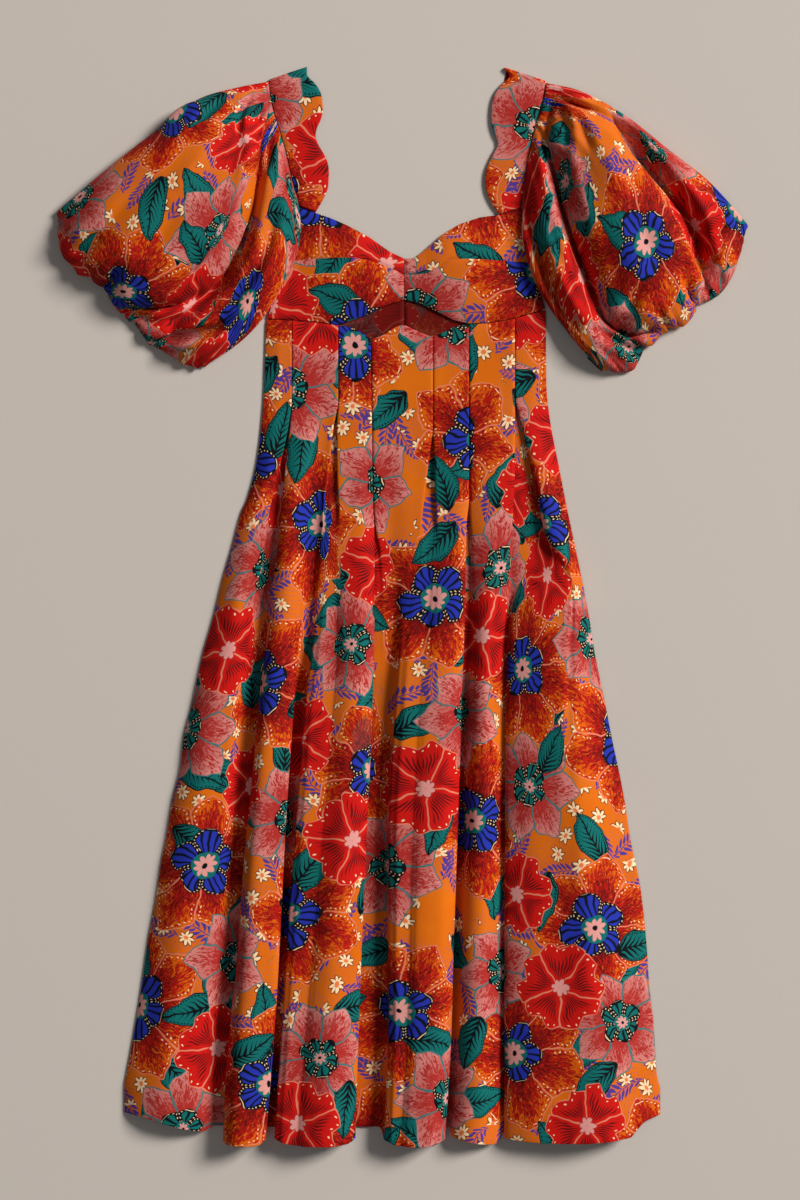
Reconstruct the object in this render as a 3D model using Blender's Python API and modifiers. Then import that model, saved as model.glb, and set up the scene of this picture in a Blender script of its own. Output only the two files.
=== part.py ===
"""Cut-out midi dress laid flat, face up, on a surface: 12 cut pieces as thin walls.

Millimetres in the tables, metres in the model. X runs across the dress, Y from the hem to the
shoulders, Z up from the surface. Left and right are as seen from above.
"""

import math

import bpy
import numpy as np

MM = 0.001
CENTRE = (-0.45, 1.57)  # middle of the dress in the tables, moved to the origin
WALL = 1.0             # every piece's wall
GAP = 0.2              # half the gap at a seam
CLOTH_COLOUR = (0.55, 0.17, 0.05, 1.0)
CLOTH_ROUGHNESS = 0.85

# skirt
SIDE_SEAM = 2.1        # height of the front skirt's edge over the back skirt's
LAYER = 1.65           # from one layer of a stitched pleat to the next, middle to middle
FOLD_LEAST = (0.35, 0.22)  # a released fold's upper and lower turns, as shares of its height
FOLD_MOST = 0.45
OPEN_LEAN = (0.3, 0.75)    # how far an open fold's upper and lower points lean out, as shares of its opening
SIDE_FLAT_LEFT = 3.6   # height of each side panel where the skirt lies flat
SIDE_FLAT_RIGHT = 4.4
LYING = 3.0            # cloth this low ends at the low hem line
STANDING = 10.0        # cloth this high ends at the high one
BACK_INSET = 1.2       # the back skirt stops this far inside the front's side edges
BACK_HEM_Y = -619.0
BACK_HEM_INSET = 2.0   # and this far short of the front's hem
BACK_ROWS = (0, 0.04, 0.1, 0.18, 0.28, 0.4, 0.52, 0.64, 0.76, 0.88, 1)
BACK_HALF_COLUMNS = 8

# bodice and straps
BODICE_HEIGHT = 4.4    # height of the bodice front's middle surface at its edges
CUP_FULLNESS = 8.0     # rise of a cup at the seam across it
CUP_COLUMNS = 13
CUP_ROWS = (0, 0.22, 0.45, 0.7, 1)
FULL_LEFT = (0.12, 1.0)   # the full part of each cup, as shares of its length
FULL_RIGHT = (0.0, 0.86)
BODICE_BACK_ROWS = (0, 0.35, 0.7, 1)
STRAP_HEIGHT = 4.4
STRAP_SWELL = 0.8
STRAP_COLUMNS = 5
SHOULDER_TURN = (60, 120)  # degrees round the fold over the shoulder

# sleeves
CUFF_LOW = 5.0
CUFF_CLOSE = 0.42      # how much of its height the end loses where it turns in
CUFF_TURN = ((0.0, 0.5), (1.5, 1.0), (14.0, 1.05))  # a sleeve's end, turned in: how far in, share of the turn
FLOOR_TURN = 1.8
FLOOR_BELOW = 1.0      # the sleeve's under layer lies lower than this
SLEEVE_SAMPLES = 2
INWARD_LEFT = (0.72, 0.69)  # from a sleeve's end into the sleeve
INWARD_RIGHT = (-0.74, 0.67)

# lifts of the panels' crowns: share of the way across, height in the loose cloth
SIDE_PANEL_LEFT = ((0.03, 4), (0.12, 8.5), (0.3, 15), (0.5, 19), (0.7, 18), (0.87, 15))
SIDE_PANEL_RIGHT = ((0.14, 27), (0.32, 28), (0.5, 25), (0.66, 19), (0.8, 12), (0.91, 7), (0.975, 4))
PANEL_LEFT = ((0.3, 7), (0.6, 9), (0.86, 5))
PANEL_MIDDLE = ((0.3, 5), (0.6, 8), (0.86, 5))
PANEL_RIGHT = ((0.25, 8), (0.55, 10), (0.82, 5))

# heights (y) at which the front skirt's section is worked out, from the waist to the hem
SKIRT_ROWS = (338.5, 312, 280, 254, 238, 226, 210, 195, 178, 160, 140, 122, 106, 92, 74, 50, 22, -8, -50,
              -100, -160, -230, -310, -400, -490, -570, -615, -636)
# how far the skirt swells out of the flat at each height: y, share
SWELL = [
    (340, 0), (245, 0.03), (200, 0.14), (150, 0.3), (100, 0.42), (40, 0.55), (-60, 0.72), (-200, 0.88),
    (-350, 0.97), (-640, 1.0),
]
BACK_WAIST = [
    (-160.6, 335.6), (-120, 326), (-74, 313.6), (-20, 311.6), (20, 311.6), (74, 313.6), (125, 326),
    (168.4, 335.6),
]
# side seam and hem: (y, x) down each side, (x, y) along the edges
SIDE_LEFT = [
    (354, -161), (338.6, -161.8), (245.7, -164.8), (212.4, -167.2), (163.6, -173.1), (116, -185),
    (102.9, -191), (57.7, -202.9), (24.4, -212.4), (-30.3, -225.5), (-68.4, -236.2), (-138.6, -251.1),
    (-174.3, -260), (-211.2, -263.9), (-250.5, -273.1), (-301.7, -281.4), (-325.5, -286.2),
    (-374.3, -293.3), (-420.7, -301.7), (-480.2, -310), (-533.7, -318.3), (-601.5, -330.5),
]
SIDE_RIGHT = [
    (354, 169.8), (338.6, 170.2), (245.7, 171.2), (212.4, 174.3), (143.4, 186.9), (102.9, 194.6),
    (68.4, 201.7), (16.1, 212.4), (-28, 220.7), (-80.3, 229.1), (-142.2, 241.6), (-182.7, 249.3),
    (-221.9, 257.6), (-261.2, 264.8), (-301.7, 270.7), (-360, 282.6), (-400.4, 287.4), (-442.1, 291),
    (-480.2, 293.3), (-521.8, 298.1), (-588.5, 302.3), (-603.9, 306.4),
]
TOP_EDGE = [
    (-162.4, 341.8), (-117.2, 339.4), (-76.3, 334.2), (-61.3, 332.1), (-45.8, 324.3), (-36.3, 317.4),
    (-24.4, 321.9), (-8.9, 332.1), (1.2, 335.2), (13.7, 329.5), (34.7, 320.5), (47.6, 325.5),
    (63.1, 333.3), (78.5, 335.5), (104.1, 336.9), (130.3, 341.6), (170.2, 352.8),
]
# hem where the cloth stands up, and where it lies in the folds' floors
HEM_HIGH = [
    (-330.5, -601.5), (-304, -606.3), (-260, -619.4), (-224.3, -625.3), (-214.8, -633.7),
    (-205.3, -637.2), (-180.8, -638.4), (-167.6, -636.9), (-163.1, -630.7), (-155.3, -627.7),
    (-147, -632.5), (-139, -636.1), (-117.2, -638.4), (-83.9, -638.4), (-62.5, -635.7),
    (-56.5, -630.1), (-38.7, -627.7), (-19, -632.5), (-8.9, -637.2), (12.5, -639), (35.1, -638),
    (49.4, -631.9), (54.6, -625.8), (65.7, -631.3), (83.3, -635.7), (105.3, -638), (119.6, -637.2),
    (121.7, -630.1), (131.5, -632.5), (170.8, -634.9), (214.8, -634.9), (248.1, -632.5),
    (270.7, -628.9), (281.4, -617), (288, -610.5), (298.9, -607.1), (306.4, -603.9),
]
HEM_LOW = [
    (-330.5, -601.5), (-288.6, -607.5), (-225.5, -617), (-157.7, -618.8), (-39.9, -618.2),
    (53, -619.4), (120.8, -619.4), (235, -619.4), (277.9, -613.4), (306.4, -603.9),
]
# each pleat down the skirt: y, then its left edge x, the tuck under it and its height, the floor's height,
# and the right edge's height, tuck and x
PLEATS = {
    "side_left": [
        (340.9, -132.1, 15, 5.6, 2.1, 5.6, 15, -130.9),
        (243.4, -132.1, 15, 5.7, 2.1, 5.7, 15, -130.9),
        (210, -136.3, 12, 6.2, 2.2, 6.4, 12, -133.6),
        (163.6, -146.1, 9, 7.5, 2.4, 8, 9, -138.6),
        (99.4, -160.3, 7, 9, 2.6, 10, 8, -144.8),
        (49.4, -166.6, 4, 10, 2.8, 11, 8, -149.9),
        (11.3, -174.9, -1, 10.5, 3, 11.5, 8, -157.7),
        (-42.2, -183.9, -6, 11, 3, 12, 8, -161.2),
        (-101.7, -195.8, -11, 12, 3.2, 13, 8.5, -168.4),
        (-182.7, -205.3, -13, 12, 3.2, 13, 9, -175.5),
        (-308.8, -216, -14, 12, 3.2, 13, 9, -188),
        (-431.4, -224.9, -14, 11, 3.2, 13, 9, -196.9),
        (-544.4, -235, -13, 10, 3.2, 12, 9, -208.2),
        (-636.1, -237.4, -12, 9, 3.2, 12, 9, -212.8),
    ],
    "mid_left": [
        (340.9, -76.8, 13, 5.6, 2.1, 5.6, 13, -75.6),
        (251.7, -76.8, 13, 5.6, 2.1, 5.6, 13, -75.6),
        (214.8, -82.7, 11, 6, 2.2, 6, 12, -77.5),
        (191, -85.1, 9, 6.2, 2.3, 6.4, 11, -77.5),
        (154.1, -89.5, 5, 6.6, 3, 7.6, 8, -76.8),
        (126.7, -93.2, 1, 7, 4.6, 8.4, 2, -75.6),
        (98.2, -95.1, -5, 7.4, 7.6, 9.6, -6, -74.4),
        (55.3, -97.5, -7, 8.4, 10, 12, -8, -72),
        (11.3, -101.1, -8, 9, 11.5, 15, -8, -70.8),
        (-25.6, -103.6, -8, 9.4, 13, 17.5, -8, -70.2),
        (-113.6, -110.7, -8, 10, 15.5, 21, -8, -74.4),
        (-261.2, -120.8, -8, 10, 17, 23, -8, -86.3),
        (-339.7, -127.3, -8, 10, 17.5, 24, -8, -93.4),
        (-480.2, -136.8, -8, 10, 18, 25, -8, -105.3),
        (-634.9, -147.3, -8, 10, 18, 25, -8, -117.2),
    ],
    "front_left": [
        (340.9, -38.1, 13, 5.6, 2.1, 5.6, 15, -36.9),
        (126.7, -35.1, 13, 5.8, 2.1, 5.7, 13, -33.7),
        (102.9, -33.9, 12, 7, 2.3, 5.2, 6, -31.1),
        (68.4, -33.9, 11, 9, 2.5, 4.2, -3, -25.6),
        (5.4, -33.9, 10, 11, 2.8, 3.4, -4, -22),
        (-113.6, -36.3, 9, 13, 3, 3.2, -4, -24.4),
        (-261.2, -42.8, 9, 14, 3, 3.2, -4, -31.5),
        (-480.2, -51.8, 9, 14, 3, 3.2, -4, -39.9),
        (-634.9, -56.5, 9, 14, 3, 3.2, -4, -44.6),
    ],
    "front_right": [
        (340.9, 35.7, 15, 5.6, 2.1, 5.6, 13, 36.9),
        (231.5, 35.7, 15, 5.6, 2.1, 5.6, 13, 36.9),
        (191, 31.2, 10, 6, 2.2, 6.4, 11, 38.2),
        (150.5, 26.4, 6, 6.8, 2.8, 7.4, 8, 39.2),
        (120.8, 23.2, 2, 7.6, 4.6, 8.6, 2, 40.3),
        (98.2, 21.3, -3, 8.4, 7.6, 9.8, -4, 41.5),
        (68.4, 17.3, -6, 9.4, 10, 12, -8, 42.7),
        (31.5, 7.7, -9, 10.4, 11.6, 14.6, -10, 43),
        (-1.8, 2.5, -10, 11.4, 13, 17, -10, 39.9),
        (-54.1, -3, -10, 12.4, 15.5, 20, -10, 33.9),
        (-113.6, -7.7, -10, 13, 18, 23, -8, 28),
        (-261.2, -15.4, -9, 13, 19, 25, -8, 19.6),
        (-480.2, -13.7, -8, 13, 19, 26, -8, 13.7),
        (-634.9, -20.2, -8, 13, 19, 26, -8, 5.4),
    ],
    "mid_right": [
        (340.9, 78.5, 15, 5.6, 2.1, 5.6, 15, 79.7),
        (129.1, 78.7, 15, 5.9, 2.1, 5.8, 13, 80.3),
        (102.9, 76, 12, 7.6, 2.4, 6, 6, 81),
        (68.4, 75, 11, 9, 2.6, 6.6, -2, 83.2),
        (5.4, 73.9, 9, 11, 2.8, 8.6, -4, 85.1),
        (-113.6, 69.6, 8, 13, 3, 10.4, -4.5, 81.5),
        (-261.2, 65.1, 8, 14, 3, 11.4, -4.5, 76.8),
        (-411.1, 60, 8, 14, 3, 12, -4.5, 71.5),
        (-521.8, 56.9, 8, 14, 3, 12, -4.5, 68.4),
        (-634.9, 49.9, 7, 14, 3, 12, -3, 59.4),
    ],
}
# the right side pleat turns over on its way down: y, then x and height of its eight points
TURNED_PLEAT = [
    (340.9, 133.3, 5.6, 133.3, 4, 118.4, 3.7, 118.4, 2.1, 149.3, 2.1, 149.3, 3.7, 134.5, 4, 134.5, 5.6),
    (245.7, 133.3, 5.6, 133.3, 4, 118.4, 3.7, 118.4, 2.1, 149.3, 2.1, 149.3, 3.7, 134.7, 4, 134.7, 5.6),
    (218.4, 133.4, 6, 133.4, 4.4, 119.6, 3.9, 119.6, 2.2, 152.9, 2.2, 152.9, 3.9, 140.4, 4.4, 140.4, 6),
    (180.3, 133.5, 6.5, 133.5, 4.8, 122, 4.1, 122, 2.4, 158.9, 2.4, 158.9, 4.1, 148.6, 5.2, 148.6, 7),
    (116, 131.3, 8, 131.3, 6.2, 124.4, 4.6, 124.4, 2.8, 170.8, 2.8, 170.8, 4.8, 162.4, 7, 162.4, 9),
    (79.1, 128.5, 8, 129.1, 6.2, 127.9, 4.6, 127.9, 3, 177.9, 4.4, 177.9, 6.6, 170.8, 9.4, 170.8, 11.6),
    (37.5, 120.8, 8, 125.5, 5.4, 128.6, 3.6, 130.3, 3.2, 163.6, 8, 175.5, 11.4, 185, 14.4, 193.4, 16.6),
    (-1.8, 117.2, 8.6, 124.4, 5, 128.4, 3.2, 130.8, 3.6, 132.2, 9, 142.2, 14.6, 169.6, 19.6, 199.3, 21.6),
    (-51.8, 114.8, 9, 123.2, 4.8, 129.7, 3, 131.5, 4.8, 125.5, 8, 127.9, 13, 154.1, 20, 194.6, 23),
    (-182.7, 111.9, 9, 121.4, 4.6, 128.5, 3, 130.3, 4.8, 122.7, 8.2, 125.5, 13, 150.5, 21, 187.4, 25),
    (-339.7, 111.3, 9, 120.8, 4.6, 127.4, 3, 129.1, 4.8, 121.5, 8.2, 124.4, 13, 149.3, 21, 187.4, 25),
    (-634.9, 111.3, 9, 120.8, 4.6, 127, 3, 128.6, 4.8, 121, 8.2, 124.4, 13, 149.3, 21, 189.8, 25),
]
# panel between the side pleat and the mid pleat at the left: y, then x and height of its five points
TUBE_PANEL = [
    (340.9, -122, 5.2, -112.5, 4.9, -102.9, 4.8, -94.6, 4.8, -85.1, 5.2),
    (245.7, -122, 5.6, -113.6, 5.4, -104.1, 5, -95.8, 4.8, -85.1, 5.2),
    (198.1, -126.7, 9, -118.4, 9.6, -110.1, 8, -101.7, 5.4, -91, 5.2),
    (154.1, -130.3, 12.4, -122, 13, -113.6, 10, -106.5, 5, -95.3, 4.8),
    (102.9, -136.3, 15, -126.7, 15.6, -117.2, 11, -111.3, 4.2, -99.4, 4),
    (5.4, -147.6, 18, -133.9, 18.6, -121.4, 12, -117.2, 4.2, -104.6, 3.8),
    (-113.6, -160.7, 22, -144.6, 22, -128.5, 12.6, -124.4, 4.2, -113.6, 3.8),
    (-261.2, -174.3, 24.5, -156.5, 24.5, -138, 13, -134.6, 4.2, -123.6, 3.8),
    (-339.7, -179.7, 25.5, -161.2, 25.5, -142.2, 13, -138.6, 4.2, -130.1, 3.8),
    (-480.2, -190.4, 26.5, -170.2, 26.5, -149.3, 13, -145.8, 4.2, -139.6, 3.8),
    (-634.9, -200.5, 27, -180.3, 27, -163.1, 13, -158.9, 4.2, -150.1, 3.8),
]
# panel between the two front pleats, the wide valley: y, then x and height of three points
VALLEY_PANEL = [
    (340.9, -19.6, 5.2, -0.6, 5.2, 18.4, 5.2),
    (191, -19.6, 5.2, -1.8, 5.3, 16.1, 5.6),
    (150.5, -18.4, 5, -1.8, 5.6, 13.7, 6.2),
    (102.9, -17.3, 4.4, -4.2, 5.6, 10.1, 7.4),
    (68.4, -14.9, 4, -4.2, 5.8, 7.7, 8),
    (5.4, -13.7, 3.6, -6.5, 5, -1.3, 9),
    (-54.1, -17.3, 3.4, -10.6, 4.8, -5.8, 9.6),
    (-113.6, -19.6, 3.3, -14.2, 4.2, -10.1, 9),
    (-261.2, -27.5, 3.3, -20.8, 3.8, -16.9, 8),
    (-480.2, -34.4, 3.3, -22, 3.6, -15.6, 8),
    (-634.9, -38.7, 3.3, -29.2, 3.4, -22, 7.4),
]
# a sleeve's lines from the armhole to its end, round its ring: x, y, height of six points on each
SLEEVE_LEFT = {
    "top_edge": [
        (-158.6, 624.2, 3), (-195.8, 616.4, 7), (-241, 602.7, 9), (-296.9, 561.1, 10),
        (-351.6, 518.2, 10), (-407.6, 470.6, 9),
    ],
    "top_roll": [
        (-158.3, 614.6, 4.6), (-199.3, 601.5, 20), (-245.7, 586.1, 28), (-299.3, 543.2, 30),
        (-355.2, 499.2, 28), (-409.2, 446.8, 20),
    ],
    "outer": [
        (-156.8, 605.1, 4.8), (-202.9, 578.9, 30), (-252.9, 552.8, 42), (-302.9, 509.9, 46),
        (-355.2, 469.5, 42), (-406.4, 424.2, 26),
    ],
    "middle": [
        (-155.2, 595.6, 5), (-200.5, 556.3, 35), (-248.1, 521.8, 48), (-298.1, 479, 52),
        (-343.3, 436.1, 46), (-388.5, 399.2, 26),
    ],
    "inner": [
        (-153.2, 587.3, 5), (-193.4, 538.5, 36), (-236.2, 490.9, 48), (-281.4, 445.7, 50),
        (-321.9, 410, 46), (-356.4, 380.2, 24),
    ],
    "ridge": [
        (-151, 580.1, 5), (-183.9, 521.8, 34), (-210, 464.7, 42), (-245.7, 412.3, 42),
        (-286.2, 375.4, 36), (-342.1, 356.4, 22),
    ],
    "crease": [
        (-147.3, 570.6, 4.6), (-173.1, 513.5, 18), (-189.8, 452.8, 20), (-218.4, 392.1, 19),
        (-257.6, 354, 17), (-318.3, 335, 14),
    ],
    "valley": [
        (-144.7, 559.9, 5), (-160.1, 498, 19), (-174.3, 439.7, 23), (-200.5, 376.6, 25),
        (-238.6, 340.9, 24), (-302.9, 315.3, 17),
    ],
    "tube": [
        (-139.8, 543.2, 5.2), (-141, 483.7, 24), (-155.3, 424.2, 32), (-179.1, 368.3, 36),
        (-219.6, 327.8, 33), (-279.1, 300.5, 21),
    ],
    "tube_side": [
        (-131.9, 507.5, 5.2), (-127.9, 464.7, 17), (-138.6, 413.5, 23), (-166, 360, 26),
        (-204.1, 317.1, 24), (-256.4, 286.2, 17),
    ],
    "inner_edge": [
        (-123.3, 475.6, 6.2), (-120.3, 449.2, 9), (-130.3, 404, 9.6), (-159.6, 350.5, 10),
        (-193.4, 313.6, 9.6), (-236.2, 286.2, 9),
    ],
    "under_roll": [
        (-126.3, 474.7, 4.6), (-123.9, 448.7, 7.2), (-134.4, 405.2, 7.6), (-163.1, 352.8, 7),
        (-195.8, 315.9, 5.6), (-238.1, 288.6, 5),
    ],
    "under_wall": [
        (-129.6, 476.1, 2.4), (-133.4, 450.9, 4.6), (-144.1, 408.3, 4), (-166.7, 355.7, 4),
        (-197.7, 318.8, 3), (-240.3, 291.4, 2.6),
    ],
    "floor_inner": [
        (-132, 480.2, 0.5), (-136.7, 452.8, 0.5), (-149.3, 412.3, 0.5), (-172, 361.2, 0.5),
        (-202.9, 324.3, 0.5), (-244.5, 295.7, 0.5),
    ],
    "floor_low": [
        (-140.4, 531.3, 0.5), (-160.1, 486.1, 0.5), (-181.5, 448, 0.5), (-212.4, 402.8, 0.5),
        (-252.9, 367.1, 0.5), (-302.9, 329, 0.5),
    ],
    "floor_high": [
        (-152.2, 576.6, 0.5), (-183.9, 548, 0.5), (-219.6, 517.1, 0.5), (-262.4, 476.6, 0.5),
        (-307.6, 436.1, 0.5), (-362.4, 390.9, 0.5),
    ],
    "floor_outer": [
        (-157.9, 617, 0.5), (-193.4, 608.7, 0.5), (-236.2, 594.4, 0.5), (-291, 552.8, 0.5),
        (-345.7, 509.9, 0.5), (-400.4, 462.3, 0.5),
    ],
}
SLEEVE_RIGHT = {
    "top_edge": [
        (170.5, 622.5, 3), (207.7, 613.4, 7), (251.7, 590.8, 9), (308.8, 546.8, 10), (363.5, 504, 10),
        (408.1, 455.2, 9),
    ],
    "top_roll": [
        (169.8, 617, 4.6), (210, 606.3, 14), (257.6, 583.7, 18), (313.6, 538.5, 22),
        (365.9, 489.7, 22), (404, 430.2, 18),
    ],
    "outer": [
        (169.1, 611.1, 4.8), (211.2, 600.4, 17), (260, 577.7, 21), (311.2, 524.2, 26),
        (358.8, 467.1, 27), (393.3, 395.7, 20),
    ],
    "crease": [
        (167.9, 605.1, 4.8), (211.2, 592, 19), (255.3, 570.6, 18), (301.7, 511.1, 18),
        (342.1, 450.4, 18), (375.4, 369.5, 15),
    ],
    "ridge": [
        (166.1, 598, 5), (211.2, 581.3, 29), (245.7, 557.5, 38), (287.4, 498, 42), (324.3, 436.1, 38),
        (355.2, 360, 23),
    ],
    "middle": [
        (162.7, 586.1, 5), (213.6, 555.1, 36), (239.8, 513.5, 48), (270.7, 452.8, 52),
        (300.5, 398.1, 47), (335, 333.8, 25),
    ],
    "inner": [
        (159.3, 574.2, 5), (202.9, 531.3, 35), (223.1, 476.6, 46), (248.1, 418.3, 48),
        (275.5, 361.2, 42), (310, 329, 24),
    ],
    "crease_low": [
        (156.2, 563.5, 4.8), (183.9, 531.3, 22), (195.8, 469.5, 24), (214.8, 407.6, 23),
        (242.2, 345.7, 21), (288.6, 307.6, 15),
    ],
    "valley": [
        (153, 549.2, 5), (170.8, 507.5, 23), (182.7, 450.4, 27), (200.5, 394.5, 28),
        (227.9, 331.4, 26), (271.9, 280.2, 17),
    ],
    "tube": [
        (148.4, 525.4, 5.2), (154.1, 479, 20), (164.8, 424.2, 27), (183.9, 373.1, 29),
        (213.6, 314.8, 27), (250.5, 279.5, 18),
    ],
    "inner_edge": [
        (142.9, 474.7, 6.2), (142.2, 442.1, 9), (154.8, 392.1, 9.6), (169.6, 362.4, 10),
        (202.9, 317.1, 9.6), (231.5, 287.9, 9),
    ],
    "under_roll": [
        (146.3, 473.7, 4.6), (145.8, 441.6, 7.2), (158.9, 394.5, 7.6), (172.7, 364.7, 7),
        (205.3, 319, 5.6), (233.4, 290.2, 5),
    ],
    "under_wall": [
        (149.6, 475.2, 2.4), (154.8, 442.8, 4.6), (168.9, 397.3, 4), (176.2, 367.8, 4),
        (207.7, 321.9, 3), (235.5, 292.9, 2.6),
    ],
    "floor_inner": [
        (152, 479, 0.5), (158.2, 444.9, 0.5), (172.4, 401.6, 0.5), (181.5, 373.1, 0.5),
        (212.4, 327.1, 0.5), (239.8, 298.1, 0.5),
    ],
    "floor_low": [
        (154.1, 521.8, 0.5), (182.7, 488.5, 0.5), (208.8, 445.7, 0.5), (237.4, 410, 0.5),
        (275.5, 369.5, 0.5), (296.9, 333.8, 0.5),
    ],
    "floor_high": [
        (162.9, 569.4, 0.5), (201.7, 552.8, 0.5), (237.4, 524.2, 0.5), (282.6, 483.7, 0.5),
        (325.5, 440.9, 0.5), (354, 386.2, 0.5),
    ],
    "floor_outer": [
        (168.9, 614.6, 0.5), (206.5, 605.6, 0.5), (246.9, 582.5, 0.5), (302.9, 539.7, 0.5),
        (356.4, 495.6, 0.5), (400, 443.3, 0.5),
    ],
}
# strap in front, from the shoulder down: neck edge x, y, armhole edge x, y
STRAP_LEFT = [
    (-113.6, 639.6, -158.2, 624.6), (-113.2, 631.3, -157.7, 617), (-103.3, 620.9, -156.5, 608.2),
    (-97.5, 611.1, -155.3, 600.8), (-95.3, 600.4, -154.1, 594.4), (-94.8, 589.6, -152, 586.1),
    (-97, 579.5, -149.1, 577), (-101.7, 568.7, -145.8, 568.2), (-103.3, 559.9, -143.9, 559.9),
    (-100.1, 549.2, -141, 550.9), (-94.6, 539.7, -138.6, 542), (-89.8, 530.1, -136.3, 532.5),
    (-87.7, 519.9, -134.1, 522.3), (-87.9, 507.5, -131.7, 511.1), (-88.7, 498, -128.9, 500.9),
    (-91.7, 489.7, -126.7, 491.4), (-95.8, 481.4, -124.8, 483.7), (-103.3, 468.7, -122.9, 476.4),
]
STRAP_RIGHT = [
    (121, 638.9, 169.6, 623), (127.4, 630.8, 168.9, 615.8), (119.6, 622.1, 167.4, 607.5),
    (113.6, 615.3, 165.5, 599.9), (109.7, 608.7, 163.6, 592.7), (106.5, 598, 161.2, 584.2),
    (105.3, 585.6, 158.9, 575.4), (105.8, 574.2, 156, 566.3), (108.5, 563.5, 154.1, 558.7),
    (113.6, 549.7, 152.2, 549.2), (108.2, 538.5, 150.3, 540.1), (102.7, 527.1, 148.4, 530.6),
    (99.4, 517.1, 147, 521.1), (98.2, 506.3, 145.8, 510.4), (99.4, 496.1, 144.6, 500.4),
    (102.5, 486.6, 143.4, 491.4), (107.7, 476.6, 142.7, 483), (115.3, 466.1, 142.2, 475.2),
]
# edges of the cup panels, each from the outer end to the other: x, y
NECK_LEFT = [
    (-122.7, 475.5), (-113.2, 471.4), (-103.2, 467.8), (-86.3, 462), (-66, 453.2), (-39.9, 439),
    (-14.3, 421), (1.7, 413.9),
]
CUP_SEAM_LEFT = [
    (-137.4, 410.2), (-130.3, 410.9), (-112.5, 412.3), (-94.6, 413.5), (-74.4, 414.2), (-55.3, 414),
    (-37.5, 410), (-19.6, 404.4), (1.7, 394.7),
]
BODICE_EDGE_LEFT = [
    (-160.8, 342.6), (-139.8, 341.4), (-117.2, 339.9), (-97, 337.6), (-76.8, 334.9), (-61.3, 340),
    (-39.9, 347.8), (-19.6, 358.1), (1.7, 365.4),
]
NECK_RIGHT = [
    (2.1, 413.8), (13.7, 413.8), (26.8, 423.6), (47.6, 442.1), (68.4, 454.7), (91, 462.3),
    (104.1, 464.2), (115.3, 465.4), (129.1, 469.9), (142, 474.3),
]
CUP_SEAM_RIGHT = [
    (2.1, 394.6), (16.1, 394.6), (30.3, 395.9), (42.2, 404), (55.3, 411.9), (73.2, 412.8),
    (92.2, 412.3), (116, 410.9), (137.4, 409.7), (154.1, 409),
]
BODICE_EDGE_RIGHT = [
    (2.1, 365.3), (22, 360.5), (42.2, 350.1), (60.1, 340.9), (78.5, 336.3), (104.1, 337.6),
    (130.3, 342.4), (151.7, 348.6), (169.6, 353.8),
]
# the plain part of each strap behind: inner edge x, y, armhole edge x, y
STRAP_BACK_LEFT = [
    (-116.5, 637.7, -157, 623.9), (-116, 614.6, -153.9, 607.5), (-107.7, 590.8, -149.3, 583.7),
    (-105.8, 559.9, -141, 557.5), (-104.6, 531.3, -134.4, 531.3), (-104.1, 495.6, -126.7, 495.6),
    (-103.6, 467.1, -122.5, 469.5), (-102.9, 436.1, -124.8, 438.5), (-101.7, 410, -132, 410),
    (-101, 384.5, -141, 384.5),
]
STRAP_BACK_RIGHT = [
    (123.4, 637.2, 168.4, 622.5), (119.6, 614.6, 165.1, 607.5), (114.8, 590.8, 159.3, 583.7),
    (114.8, 559.9, 152.2, 557.5), (114.4, 531.3, 147.4, 531.3), (114.4, 495.6, 142.9, 495.6),
    (114.8, 464.7, 140.3, 468.3), (114.4, 436.1, 143.9, 438.5), (113.6, 410, 151, 410),
    (113.2, 384.5, 157.7, 384.5),
]
BACK_TOP = 383.8          # top edge of the bodice back, hidden below the front's neckline
BACK_CENTRE = 2.0         # the centre-back seam
BACK_SIDE_TOP = {-1: -143.4, 1: 159.6}  # side edge of the bodice back at its top


def at(rows, y, column=1):
    """One column of a table at height y; the table's first column runs from the neckline down."""
    table = np.array(rows, float)
    return float(np.interp(-y, -table[:, 0], table[:, column]))


def along(points, fractions):
    """Points at these shares of a polyline's length."""
    line = np.array(points, float)
    steps = np.linalg.norm(np.diff(line, axis=0), axis=1)
    passed = np.concatenate([[0], np.cumsum(steps)])
    wanted = np.array(fractions) * passed[-1]
    return np.stack([np.interp(wanted, passed, line[:, k]) for k in range(line.shape[1])], axis=1)


def smooth(points, samples, closed=False):
    """A Catmull-Rom curve through the points, with this many samples to a span."""
    p = np.array(points, float)
    count = len(p)
    out = []
    for i in range(count if closed else count - 1):
        if closed:
            a, b, c, d = p[i - 1], p[i], p[(i + 1) % count], p[(i + 2) % count]
        else:
            a, b, c, d = p[max(i - 1, 0)], p[i], p[i + 1], p[min(i + 2, count - 1)]
        for k in range(samples):
            t = k / samples
            out.append(0.5 * (2 * b + (c - a) * t + (2 * a - 5 * b + 4 * c - d) * t * t
                              + (3 * b - a - 3 * c + d) * t ** 3))
    if not closed:
        out.append(p[-1])
    return np.array(out)


def half_pleat(edge, tuck, top, floor, way):
    """Four points down one side of an inverted pleat: the edge, two under it and its end on the floor."""
    drop = top - floor
    upper, lower = (min(max(LAYER, least * drop), FOLD_MOST * drop) for least in FOLD_LEAST)
    opening = max(-tuck, 0.0)
    under = max(tuck, 0.0)
    return [
        (edge, top),
        (edge + way * OPEN_LEAN[0] * opening, top - upper),
        (edge - way * (under - OPEN_LEAN[1] * opening), floor + lower),
        (edge - way * tuck, floor),
    ]


def pleat(rows, y):
    """Eight points round an inverted pleat: over its left edge, under it, along the floor and back."""
    left, tuck_l, top_l, floor, top_r, tuck_r, right = (at(rows, y, k) for k in range(1, 8))
    return half_pleat(left, tuck_l, top_l, floor, 1) + half_pleat(right, tuck_r, top_r, floor, -1)[::-1]


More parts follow.
